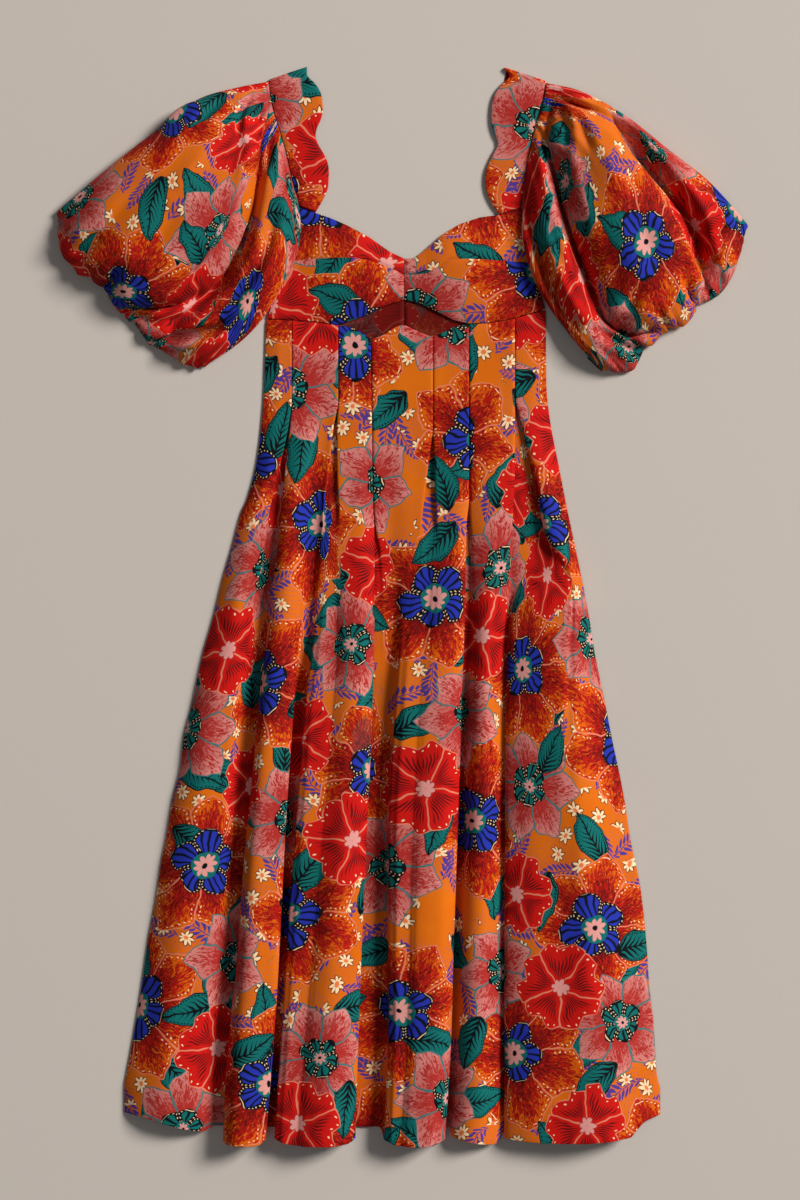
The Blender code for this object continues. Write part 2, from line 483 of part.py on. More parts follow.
def pairs(rows, y):
    """The (x, height) pairs of a wide table at height y."""
    return [(at(rows, y, k), at(rows, y, k + 1)) for k in range(1, len(rows[0]), 2)]


def crown(a, b, lifts, swell):
    """A panel's points between two pleats, lifted above the straight line between its edges."""
    wide, tall = b[0] - a[0], b[1] - a[1]
    return [(a[0] + wide * share, a[1] + tall * share + lift * swell) for share, lift in lifts]


def side_panel(from_x, to_x, lifts, flat, swell):
    """A side panel's points: at the flat height near the waist, rising to its lifts in the loose cloth."""
    return [(from_x + (to_x - from_x) * share, (1 - swell) * flat + swell * lift) for share, lift in lifts]


def skirt_section(y):
    """The front skirt's section at height y, from side seam to side seam, as (x, height)."""
    swell = at(SWELL, y)
    seam_left, seam_right = at(SIDE_LEFT, y), at(SIDE_RIGHT, y)
    side_left, mid_left, front_left, front_right, mid_right = (pleat(PLEATS[name], y) for name in PLEATS)
    turned = pairs(TURNED_PLEAT, y)
    section = [(seam_left, SIDE_SEAM)]
    section += side_panel(seam_left, side_left[0][0], SIDE_PANEL_LEFT, SIDE_FLAT_LEFT, swell)
    section += side_left + pairs(TUBE_PANEL, y) + mid_left
    section += crown(mid_left[-1], front_left[0], PANEL_LEFT, swell)
    section += front_left + pairs(VALLEY_PANEL, y) + front_right
    section += crown(front_right[-1], mid_right[0], PANEL_MIDDLE, swell)
    section += mid_right
    section += crown(mid_right[-1], turned[0], PANEL_RIGHT, swell)
    section += turned
    section += side_panel(turned[-1][0], seam_right, SIDE_PANEL_RIGHT, SIDE_FLAT_RIGHT, swell)
    return section + [(seam_right, SIDE_SEAM)]


def skirt_grid(rows):
    """The front skirt's middle surface: one line of points for each height in rows."""
    top_y, low_y = rows[0], rows[-1]
    starts = [np.interp(x, *zip(*TOP_EDGE)) - GAP for x, _ in skirt_section(top_y)]
    ends = []
    for x, height in skirt_section(low_y):
        high, low = np.interp(x, *zip(*HEM_HIGH)), np.interp(x, *zip(*HEM_LOW))
        ends.append(low + (high - low) * min(max((height - LYING) / (STANDING - LYING), 0.0), 1.0))
    grid = []
    for y in rows:
        v = (top_y - y) / (top_y - low_y)
        section = skirt_section(y)
        grid.append([(x, s + (e - s) * v, height) for (x, height), s, e in zip(section, starts, ends)])
    return np.array(grid)


def back_waist():
    """Points along the back's waist seam, the same for the bodice back and the back skirt."""
    left, right = BACK_WAIST[0][0], BACK_WAIST[-1][0]
    first = np.linspace(left, BACK_CENTRE, BACK_HALF_COLUMNS + 1)
    second = np.linspace(BACK_CENTRE, right, BACK_HALF_COLUMNS + 1)[1:]
    return [(x, float(np.interp(x, *zip(*BACK_WAIST)))) for x in np.concatenate([first, second])]


def back_grid():
    """The back skirt, flat on the surface, just inside the front's side seams."""
    waist = back_waist()
    width = waist[-1][0] - waist[0][0]
    grid = []
    for v in BACK_ROWS:
        widened = min(v / BACK_ROWS[1], 1.0)
        line = []
        for top_x, seam_y in waist:
            top_y = seam_y - GAP
            u = (top_x - waist[0][0]) / width
            y = top_y + (BACK_HEM_Y - top_y) * v
            left, right = at(SIDE_LEFT, y) + BACK_INSET, at(SIDE_RIGHT, y) - BACK_INSET
            x = top_x + (left + (right - left) * u - top_x) * widened
            low = np.interp(x, *zip(*HEM_LOW)) + BACK_HEM_INSET
            line.append((x, top_y + (low - top_y) * v, WALL / 2))
        grid.append(line)
    return np.array(grid)


def cup_grid(top, bottom, full_part, full_at_foot):
    """A cup panel between two edges, full towards the seam that crosses the cup and flat near its ends."""
    full_from, full_to = full_part
    columns = np.linspace(0, 1, CUP_COLUMNS)
    upper, lower = along(top, columns), along(bottom, columns)
    grid = []
    for v in CUP_ROWS:
        reach = math.sin(0.5 * math.pi * (v if full_at_foot else 1 - v))
        line = []
        for k, u in enumerate(columns):
            x, y = upper[k] + (lower[k] - upper[k]) * v
            spread = math.sin(math.pi * min(max((u - full_from) / (full_to - full_from), 0.0), 1.0))
            line.append((x, y, BODICE_HEIGHT + CUP_FULLNESS * spread * reach))
        grid.append(line)
    return np.array(grid)


def back_bodice_grid(way):
    """Half of the bodice back, flat on the surface: way is -1 at the left, 1 at the right."""
    waist = back_waist()
    half = waist[:BACK_HALF_COLUMNS + 1] if way < 0 else waist[BACK_HALF_COLUMNS:]
    foot_x = half[0][0] if way < 0 else half[-1][0]
    grid = []
    for v in BODICE_BACK_ROWS:
        line = []
        for x, seam_y in half:
            u = (x - BACK_CENTRE) / (foot_x - BACK_CENTRE)
            top_x = BACK_CENTRE + (BACK_SIDE_TOP[way] - BACK_CENTRE) * u
            apart = way * GAP * (1 - u)
            y = BACK_TOP + (seam_y + GAP - BACK_TOP) * v
            line.append((top_x + (x - top_x) * v + apart, y, WALL / 2))
        grid.append(line)
    return np.array(grid)


def shifted(line, up):
    """A seam line moved up or down by half the seam's gap."""
    return [(x, y + up) for x, y in line]


def across(inner, outer, height, columns, rise=0.0):
    """Points from a strap's inner edge to its outer one, highest in the middle by rise."""
    line = []
    for u in columns:
        x = inner[0] + (outer[0] - inner[0]) * u
        y = inner[1] + (outer[1] - inner[1]) * u
        line.append((x, y, height + rise * math.sin(math.pi * u)))
    return line


def strap_grid(front, behind):
    """A strap: its scalloped front, the turn over the shoulder, and the plain part behind it."""
    columns = np.linspace(0, 1, STRAP_COLUMNS)
    grid = [across(row[:2], row[2:], STRAP_HEIGHT, columns, STRAP_SWELL) for row in front[::-1]]
    neck, arm = np.array(front[0][:2]), np.array(front[0][2:])
    rise = STRAP_HEIGHT - WALL / 2
    for degrees in SHOULDER_TURN:
        turn = math.radians(degrees)
        out = np.array([0.0, 0.5 * rise * math.sin(turn)])
        grid.append(across(neck + out, arm + out, STRAP_HEIGHT - rise * (1 - math.cos(turn)) / 2, columns))
    grid += [across(row[:2], row[2:], WALL / 2, columns) for row in behind]
    return np.array(grid)


def sleeve_grid(lines, inward):
    """A sleeve as rings from the armhole to the cuff, turned in there; inward points into the sleeve."""
    table = np.array(list(lines.values()), float)
    rows = np.array([smooth(line, SLEEVE_SAMPLES) for line in table]).transpose(1, 0, 2)
    front = list(lines).index("floor_inner")
    floor = table[:, -1, 2] < FLOOR_BELOW
    turned = []
    for depth, share in CUFF_TURN:
        ring = rows[-1].copy()
        ring[:, :2] += np.array(inward) * depth
        lifted = ring[:, 2] + FLOOR_TURN * share
        lowered = ring[:, 2] - (ring[:, 2] - CUFF_LOW) * CUFF_CLOSE * share
        ring[:, 2] = np.where(floor, lifted, lowered)
        turned.append(ring)
    rings = []
    for ring in list(rows) + turned:
        curve = smooth(ring, SLEEVE_SAMPLES, closed=True)
        keep = [k for k in range(len(curve)) if k // SLEEVE_SAMPLES < front or k % SLEEVE_SAMPLES == 0]
        curve = curve[keep]
        curve[:, 2] = np.maximum(curve[:, 2], WALL / 2)
        rings.append(curve)
    return np.array(rings)


def cloth(name):
    """A plain dull material in the ground colour of the print."""
    material = bpy.data.materials.new(name)
    material.use_nodes = True
    shader = material.node_tree.nodes["Principled BSDF"]
    shader.inputs["Base Color"].default_value = CLOTH_COLOUR
    shader.inputs["Roughness"].default_value = CLOTH_ROUGHNESS
    return material


def shell(name, grid, closed=False):
    """A piece of cloth: faces over a grid of middle points, given its wall by a Solidify modifier."""
    count, width = grid.shape[:2]
    faces = []
    for r in range(count - 1):
        for k in range(width if closed else width - 1):
            n = (k + 1) % width
            faces.append((r * width + k, (r + 1) * width + k, (r + 1) * width + n, r * width + n))
    mesh = bpy.data.meshes.new(name)
    points = (grid.reshape(-1, 3) - (*CENTRE, 0.0)) * MM
    mesh.from_pydata(points.tolist(), [], faces)
    mesh.polygons.foreach_set("use_smooth", [True] * len(mesh.polygons))
    mesh.materials.append(cloth(name))
    piece = bpy.data.objects.new(name, mesh)
    bpy.context.scene.collection.objects.link(piece)
    solidify = piece.modifiers.new("wall", "SOLIDIFY")
    solidify.thickness = WALL * MM
    solidify.offset = 0.0
    solidify.use_even_offset = True
    solidify.use_quality_normals = True
    return piece


def skirt():
    """The pleated front and the flat back."""
    shell("skirt_front", skirt_grid(SKIRT_ROWS))
    shell("skirt_back", back_grid())


def cups(side, neck, seam, edge, full_part):
    """The two panels of one cup, above and below the seam across it."""
    above, below = shifted(seam, GAP), shifted(seam, -GAP)
    shell("cup_upper_" + side, cup_grid(neck, above, full_part, full_at_foot=True))
    shell("cup_lower_" + side, cup_grid(below, shifted(edge, GAP), full_part, full_at_foot=False))


def main():
    for old in list(bpy.data.objects):
        bpy.data.objects.remove(old, do_unlink=True)
    skirt()
    cups("left", NECK_LEFT, CUP_SEAM_LEFT, BODICE_EDGE_LEFT, FULL_LEFT)
    cups("right", NECK_RIGHT, CUP_SEAM_RIGHT, BODICE_EDGE_RIGHT, FULL_RIGHT)
    shell("bodice_back_left", back_bodice_grid(-1))
    shell("bodice_back_right", back_bodice_grid(1))
    shell("strap_left", strap_grid(STRAP_LEFT, STRAP_BACK_LEFT))
    shell("strap_right", strap_grid(STRAP_RIGHT, STRAP_BACK_RIGHT))
    shell("sleeve_left", sleeve_grid(SLEEVE_LEFT, INWARD_LEFT), closed=True)
    shell("sleeve_right", sleeve_grid(SLEEVE_RIGHT, INWARD_RIGHT), closed=True)


main()
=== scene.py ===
"""Cut-out midi dress laid flat, face up: the printed cotton pieces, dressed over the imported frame.

Millimetres in the tables and metres in the meshes. X runs across the dress, Y from the hem to the
shoulders, Z up from the surface. Left and right are as seen from above.
"""

import math

import bpy
import mathutils
import numpy as np
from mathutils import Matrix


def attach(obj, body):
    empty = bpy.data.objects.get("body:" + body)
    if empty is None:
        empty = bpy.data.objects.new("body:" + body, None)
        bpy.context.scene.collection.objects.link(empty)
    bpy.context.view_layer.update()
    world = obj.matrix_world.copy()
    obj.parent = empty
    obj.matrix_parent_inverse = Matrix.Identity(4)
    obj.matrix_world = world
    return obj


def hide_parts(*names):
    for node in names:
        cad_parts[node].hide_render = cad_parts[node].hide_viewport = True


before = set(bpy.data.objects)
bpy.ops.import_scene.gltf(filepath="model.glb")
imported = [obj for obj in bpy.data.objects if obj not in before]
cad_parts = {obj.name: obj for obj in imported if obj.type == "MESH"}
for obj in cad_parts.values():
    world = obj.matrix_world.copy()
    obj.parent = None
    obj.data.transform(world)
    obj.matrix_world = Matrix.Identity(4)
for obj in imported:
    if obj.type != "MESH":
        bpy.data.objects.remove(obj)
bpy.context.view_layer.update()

MM = 0.001
CENTRE = (-0.45, 1.57)   # middle of the dress in the tables, moved to the origin
CLOTH = 0.5              # thickness of the cloth
BODICE_CLOTH = 0.9       # thickness of the bodice front and straps, which are lined
SEAM_GAP = 0.15          # half the gap at a seam
EDGE_ROLL = 0.9          # how far a sewn edge rolls down, and over what width
EDGE_ROLL_WIDTH = 2.6
EDGE_STEPS = (0.0, 0.7, 1.5, 2.6, 4.2)  # lines of points this far from a sewn edge

# skirt
SKIRT_TOP_Y = 338.5
SKIRT_LOW_Y = -636.0
SKIRT_ROWS = 186         # lines of points down the front skirt
SPAN_STEP = 6.0          # longest step across the front skirt
SPAN_COUNTS = (2, 12)    # fewest and most steps in a span of it
SIDE_SEAM = 2.1          # height of the front skirt's edge over the back skirt's
OVER_BACK = 1.2          # the front skirt lies nowhere lower than this
LAYER = 1.65             # from one layer of a stitched pleat to the next
FOLD_LEAST = (0.35, 0.22)  # a released fold's upper and lower turns, as shares of its height
FOLD_MOST = 0.45
OPEN_AT = 4.0            # a pleat whose edges stand this far apart, to each side, lies open
OPEN_SLOPE = 0.33        # an open pleat's upper and lower turns, as shares of its height and opening
OPEN_LEAN = 0.7
HEM_ROLL = 0.5           # the hem rolls this much as far as a seam does
LYING = 3.0              # cloth this low ends at the low hem line
STANDING = 10.0          # cloth this high ends at the high one
FLAT_TOP = 0.86          # width of the skirt's flat cloth at the waist, as a share of its width at the hem
FULLER = 0.22            # the skirt's panels stand this much fuller at the hem than the solids' tables
BACK_HEIGHT = 0.5        # height of the back's cloth, lying on the surface
BACK_COLUMNS = 60
BACK_ROWS = 90
BACK_INSET = 1.2         # the back skirt stops this far inside the front's side edges
BACK_INSET_FROM = 0.04   # reached over this share of its length
BACK_HEM_Y = -619.0
BACK_HEM_INSET = 2.0     # and this far short of the front's hem

# bodice and straps
BODICE_HEIGHT = 4.4      # height of the bodice front at its edges
CUP_FULLNESS = 8.0       # rise of a cup at the seam across it
CUP_LENGTH = 165.0       # about the length and width of a cup's panel, and its lines of points
CUP_WIDTH = 55.0
CUP_COLUMNS = 72
CUP_ROWS = 30
FULL_LEFT = (0.12, 1.0)  # the full part of each cup, as shares of its length
FULL_RIGHT = (0.0, 0.86)
BODICE_BACK_COLUMNS = 31
BODICE_BACK_ROWS = 24
SEAM_RIDGE = 0.9         # height and half width of the ridge over the centre-back seam
SEAM_RIDGE_WIDTH = 5.0
STRAP_HEIGHT = 4.4
STRAP_SWELL = 0.8
STRAP_WIDTH = 38.0
STRAP_COLUMNS = 20
STRAP_SAMPLES = 4        # points from one of a strap's rows to the next
SHOULDER_TURN = (30, 60, 90, 120, 150)  # degrees round the fold over the shoulder

# sleeves
SLEEVE_SAMPLES = 9       # points from one of a sleeve's lines to the next
SLEEVE_STEPS = 22        # rings from one of its stations to the next
SLEEVE_LYING = 6.0       # creases and folds end where the cloth lies this low
FLOOR_BELOW = 1.0        # the sleeve's under layer lies lower than this
LEAST_HEIGHT = 0.3       # and nothing of the sleeve lies lower than this
CUFF_LOW = 5.0
CUFF_CLOSE = 0.42        # how much of its height the end loses where it turns in
CUFF_TURN = ((0.0, 0.5), (1.5, 1.0), (14.0, 1.05))  # the end, turned in: how far in, share of the turn
CUFF_ROUND = 32.0        # the puff rounds down over this length before its gathered end
CUFF_HEIGHT = 0.3        # and the end is this much of its height
FLOOR_TURN = 1.8
INWARD_LEFT = (0.72, 0.69)  # from a sleeve's end into the sleeve
INWARD_RIGHT = (-0.74, 0.67)
ARMHOLE_GATHERS = {"count": 19, "uneven": 0.5, "depth": 2.6, "reach": 26}
CUFF_GATHERS = {"count": 27, "uneven": 0.8, "depth": 4.2, "reach": 20}
GATHER_BUNCHES = (3, 1.07)  # gathers bunch up this many times round a sleeve, from this angle
GATHER_TALLER = (5, 2.51)   # and stand taller this many times round it, from this angle
GATHER_HEIGHT = (0.75, 0.35)  # their mean height and how much it varies
GATHER_SMALL = (0.35, 2.37, 1.88)  # small folds between: their height, how many more, from what angle

# creases and folds
LINE_SAMPLES = 6         # points from one of a crease's points to the next
FREE_OVER = 8.0          # a crease is full where the cloth lies this far above its lowest height
TROUGH_STEEP = 1.5       # how steeply a crease's sides fall
TROUGH_SIDE = 0.35       # a crease's soft shoulders, as a share of its depth
TROUGH_SIDE_AT = 1.9     # and how many of its widths away they lie
CREASE_ENDS = (0.04, 0.7)  # how faint the ends of a crease and a fold are, and how soon they fade
FOLD_ENDS = (0.03, 0.6)
FOLD_RIDGE = 0.45        # the ridge beside a sharp fold, as a share of its depth
RIDGE_AT = (1.0, 0.8)    # middle and width of a fold's ridge, trough and lap, in its own widths
TROUGH_AT = (-0.6, 0.65)
LAP_AT = (0.3, 0.85)

# lifts of the skirt's panels: share of the way across, height in the loose cloth
PANEL_LEFT = ((0.3, 7), (0.6, 9), (0.86, 5))
PANEL_MIDDLE = ((0.3, 5), (0.6, 8), (0.86, 5))
PANEL_RIGHT = ((0.25, 8), (0.55, 10), (0.82, 5))
# the side panels: share of the way across, height where the skirt lies flat, height in the loose cloth
SIDE_PANEL_LEFT = ((0.03, 2.6, 4), (0.12, 3.4, 8.5), (0.3, 4.6, 15), (0.5, 5.6, 19), (0.7, 5.6, 18),
                   (0.87, 5.6, 15))
SIDE_PANEL_RIGHT = ((0.14, 5.6, 27), (0.32, 5.6, 28), (0.5, 5.2, 25), (0.66, 4.3, 19), (0.8, 3.5, 12),
                    (0.91, 2.8, 7), (0.975, 2.4, 4))

# smooth curves
CURVE_REACH = 1.4        # a curve's slope at a point is at most this many times the shorter span beside it
LEAST_LENGTH = 1e-6      # no length that divides another is taken as less

# the print, in millimetres before it is drawn PRINT_SCALE times as large
PRINT_SCALE = 1.2
PRINT_TURN = 24.0        # the print lies at this angle on the grain
FLOWER_REPEAT = 178.0    # from one large flower to the next
HAND_WOBBLE = 7.0        # how far the drawn lines stray, and how many times in a millimetre
HAND_WOBBLE_SCALE = 0.055
BLOTCHES = 0.02          # blotches of the ground and bunches of daisies in a millimetre
PRINT_IN_PAINTED_SHADE = 0.12      # how much of the print shows on the wrong side; the rest is painted shade in deep maroon
SOFT = 0.3               # a dye's edge is soft over one of these, to each side
FINE = 0.25
FINER = 0.2
SHARP = 0.001            # and whole motifs are chosen by a sharp one
SHARES = (0.001, 0.999)  # a share of a petal's or leaf's length, kept off its ends
SPREAD = {"flower": 0.2, "leaf": 0.25, "sprig": 0.12}  # how far motifs stray from even rows

# rings of petals: how many, width for their length, where widest (over 1 is past the middle),
# roundness (less is rounder), notch in the tip, unevenness
RING_INPUTS = ("Petals", "Fullness", "Belly", "Tip", "Notch", "Uneven")
RINGS = {
    "daisy": (8.0, 0.2, 1.25, 0.55, 0.0, 0.06),
    "rosette": (9.0, 0.24, 1.2, 0.5, 0.0, 0.06),
    "five wings": (5.0, 0.44, 1.35, 0.6, 0.0, 0.22),
    "six wings": (6.0, 0.44, 1.35, 0.6, 0.0, 0.22),
    "orange": (7.0, 0.39, 1.05, 0.86, 0.0, 0.14),
    "pink": (7.0, 0.37, 0.98, 0.98, 0.0, 0.14),
    "red": (5.0, 0.56, 1.75, 0.5, 0.2, 0.1),
    "small pink": (7.0, 0.3, 1.4, 0.5, 0.0, 0.12),
}
REACHES = {"orange": (76.0, 12.0), "pink": (58.0, 8.0), "red": (42.0, 7.0)}  # least, and at most more
DAISY_REACH = 8.4        # a daisy's petals and its middle
DAISY_MIDDLE = 2.3
SMALL_PINK_REACH = 9.5   # the small flower on a red one
ROSETTE_RING = 0.9       # a rosette's petals and its middle, as shares of its own reach
ROSETTE_MIDDLE = 0.2
PETAL_BEND = 1.4         # bend of an uneven petal
NOTCH_WIDTH = 0.24       # as a share of the petal's length
SIDE_SLOPE = 0.86        # distances to a petal's side and tip are taken this much shorter, as they slant
TIP_SLOPE = 0.9
PETAL_OVERLAP = 0.45     # petals lie over each other by this much at the foot
PETALS_APART = 97.0      # steps that keep the random numbers of flowers, petals and marks apart
MARKS_APART = 31.0
FINER_APART = 7.0

# rows of dots inside an edge: how deep, how far apart, how large
DOTS = {"leaf": (2.6, 3.0, 0.8), "wings": (1.6, 3.1, 0.55), "orange": (4.0, 4.0, 0.7),
        "red": (4.2, 7.0, 0.85)}
DOTS_FROM = {"orange": 0.5, "red": 0.78}  # as a share of the petal
# width of the line round an edge
EDGES = {"orange": 1.1, "pink": 1.4, "red": 1.2, "wings": 3.4, "leaf": 1.1}

# feathery marks: how far out they reach, how fine they are
FEATHERS = {"flame": (1.02, 1.0), "deep flame": (0.62, 1.5), "coral": (0.8, 1.3)}
MARKS_ALONG = 0.16       # marks in a millimetre, along and across a petal
MARKS_ACROSS = 0.42
MARKS_SWEEP = 0.9        # how much they sweep outwards
MARKS_WIDTH = 0.55       # how far to its sides, as a share of its reach
MARKS_RAGGED = 3.4       # how ragged and how soft their ends are
MARKS_SOFT = 0.12
MARKS_NOISE = {"Scale": 1.0, "Detail": 3.0, "Roughness": 0.62, "Distortion": 0.9}
STREAK_SPREAD = (2.6, 0.5)  # width of a wing's streaks towards its tip and at its foot
PINK_FROM = (0.72, 0.4)  # where a pink petal is half pale, and over what share it pales

# the red flower's strokes
STROKES_FOOT = 4.0       # they fan out from this far behind the flower's middle
STROKES = 30.0           # how close they lie
STROKES_HEAVY = 2.4      # how heavy they are at most
STROKES_MIDDLE = 0.48    # they are heaviest at this share of the petal
STROKES_SHORT = 5.0      # how fast they thin from there
STROKES_LEAST = 1.1      # and nothing thinner than this shows
STROKES_INSIDE = (4.5, 0.5)  # they end this far inside the edge, this softly

# sprigs and leaves
SPRIG_LENGTH = 25.0      # half the length of a sprig
SPRIG_LEAF = 8.4         # length and half width of its leaves, and from one leaf to the next
SPRIG_LEAF_WIDTH = 1.75
SPRIG_PITCH = 5.6
SPRIG_STEM = 0.5         # half the width of its stem
SPRIG_BEND = 0.02        # how much it bends
SPRIG_SLANT = 0.85       # its leaves slant forward by this much of their reach
SPRIG_STAGGER = 0.25     # leaves on one side stand half a step from the other side's
SPRIG_TAPER = 2.5        # leaves get shorter towards the sprig's ends, down to the least, and thinner
SPRIG_LEAST = 0.05
SPRIG_THIN = 3.0
SPRIG_ACROSS = 0.8       # width across a slanting leaf, as a share of that along the stem
LEAF_BEND = 0.008        # how much a large leaf bends
LEAF_BELLY = 0.8         # under 1 it is widest before its middle
LEAF_TIP = 0.85          # how round it is (less is rounder)
LEAF_END_SLOPE = 0.8     # distances to its ends are taken this much shorter, as its sides slant
VEIN_SLANT = 1.25        # its veins slant forward by this much of their reach, this far apart
VEIN_PITCH = 6.4
VEIN_WIDTH = 1.9         # a vein's width at the midrib, and how it thins outwards and along the leaf
VEIN_THINS_OUT = 2.1
VEIN_THINS_ALONG = 3.0
VEIN_EVEN = 0.35         # the share of the leaf where a vein is neither thicker nor thinner
MIDRIB = 0.8             # half the midrib's width

# the cloth's weave and shine
THREADS = 11.0           # turns of the weave in a millimetre, in radians
THREAD_RELIEF = 0.12     # height of the threads in millimetres, and how much of it shows
THREAD_STRENGTH = 0.35
SLUBS = 0.6              # thick places in the threads in a millimetre
THREAD_SHARE = 0.6       # of the weave's height
SLUB_SHARE = 0.8
ROUGHNESS = (0.66, 0.16)  # least, and how much more at thick places
COTTON_SHINE = 0.08
COTTON_SHEEN = (0.02, 0.45)  # how strong, how rough

# paper, camera and light
PAPER_SIZE = 14.0
PAPER_GRAIN = 420.0
PAPER_ROUGHNESS = 0.9
PAPER_SHINE = 0.2
VIEW_CENTRE = (-0.0025, 0.0062)
CAMERA_HEIGHT = 4.2
VIEW_LENGTH = 1.428      # length of the surface in the picture, from top to bottom
KEY_PLACE = (12.4, 7.1, 9.8)
KEY_SIZE = 5.4
KEY_WATTS = 3980
KEY_TINT = (1.0, 0.97, 0.94)
FILL_PLACE = (-3.0, -2.4, 7.0)
FILL_SIZE = 3.0
FILL_WATTS = 34
FILL_TINT = (0.97, 0.98, 1.0)
STUDIO_TINT = (0.92, 0.95, 1.0, 1.0)
STUDIO_LIGHT = 0.13

# how far the skirt swells out of the flat at each height: y, share
SWELL = [
    (340, 0), (245, 0.03), (200, 0.14), (150, 0.3), (100, 0.42), (40, 0.55), (-60, 0.72), (-200, 0.88),
    (-350, 0.97), (-640, 1.0),
]
BACK_WAIST = [
    (-160.6, 335.6), (-120, 326), (-74, 313.6), (-20, 311.6), (20, 311.6), (74, 313.6), (125, 326),
    (168.4, 335.6),
]
# side seam and hem: (y, x) down each side, (x, y) along the edges
SIDE_LEFT = [
    (354, -161), (338.6, -161.8), (245.7, -164.8), (212.4, -167.2), (163.6, -173.1), (116, -185),
    (102.9, -191), (57.7, -202.9), (24.4, -212.4), (-30.3, -225.5), (-68.4, -236.2), (-138.6, -251.1),
    (-174.3, -260), (-211.2, -263.9), (-250.5, -273.1), (-301.7, -281.4), (-325.5, -286.2),
    (-374.3, -293.3), (-420.7, -301.7), (-480.2, -310), (-533.7, -318.3), (-601.5, -330.5),
]
SIDE_RIGHT = [
    (354, 169.8), (338.6, 170.2), (245.7, 171.2), (212.4, 174.3), (143.4, 186.9), (102.9, 194.6),
    (68.4, 201.7), (16.1, 212.4), (-28, 220.7), (-80.3, 229.1), (-142.2, 241.6), (-182.7, 249.3),
    (-221.9, 257.6), (-261.2, 264.8), (-301.7, 270.7), (-360, 282.6), (-400.4, 287.4), (-442.1, 291),
    (-480.2, 293.3), (-521.8, 298.1), (-588.5, 302.3), (-603.9, 306.4),
]
TOP_EDGE = [
    (-162.4, 341.8), (-117.2, 339.4), (-76.3, 334.2), (-61.3, 332.1), (-45.8, 324.3), (-36.3, 317.4),
    (-24.4, 321.9), (-8.9, 332.1), (1.2, 335.2), (13.7, 329.5), (34.7, 320.5), (47.6, 325.5),
    (63.1, 333.3), (78.5, 335.5), (104.1, 336.9), (130.3, 341.6), (170.2, 352.8),
]
# hem where the cloth stands up, and where it lies in the folds' floors
HEM_HIGH = [
    (-330.5, -601.5), (-304, -606.3), (-260, -619.4), (-224.3, -625.3), (-214.8, -633.7),
    (-205.3, -637.2), (-180.8, -638.4), (-167.6, -636.9), (-163.1, -630.7), (-155.3, -627.7),
    (-147, -632.5), (-139, -636.1), (-117.2, -638.4), (-83.9, -638.4), (-62.5, -635.7), (-56.5, -630.1),
    (-38.7, -627.7), (-19, -632.5), (-8.9, -637.2), (12.5, -639), (35.1, -638), (49.4, -631.9),
    (54.6, -625.8), (65.7, -631.3), (83.3, -635.7), (105.3, -638), (119.6, -637.2), (121.7, -630.1),
    (131.5, -632.5), (170.8, -634.9), (214.8, -634.9), (248.1, -632.5), (270.7, -628.9), (281.4, -617),
    (288, -610.5), (298.9, -607.1), (306.4, -603.9),
]
HEM_LOW = [
    (-330.5, -601.5), (-288.6, -607.5), (-225.5, -617), (-157.7, -618.8), (-39.9, -618.2), (53, -619.4),
    (120.8, -619.4), (235, -619.4), (277.9, -613.4), (306.4, -603.9),
]
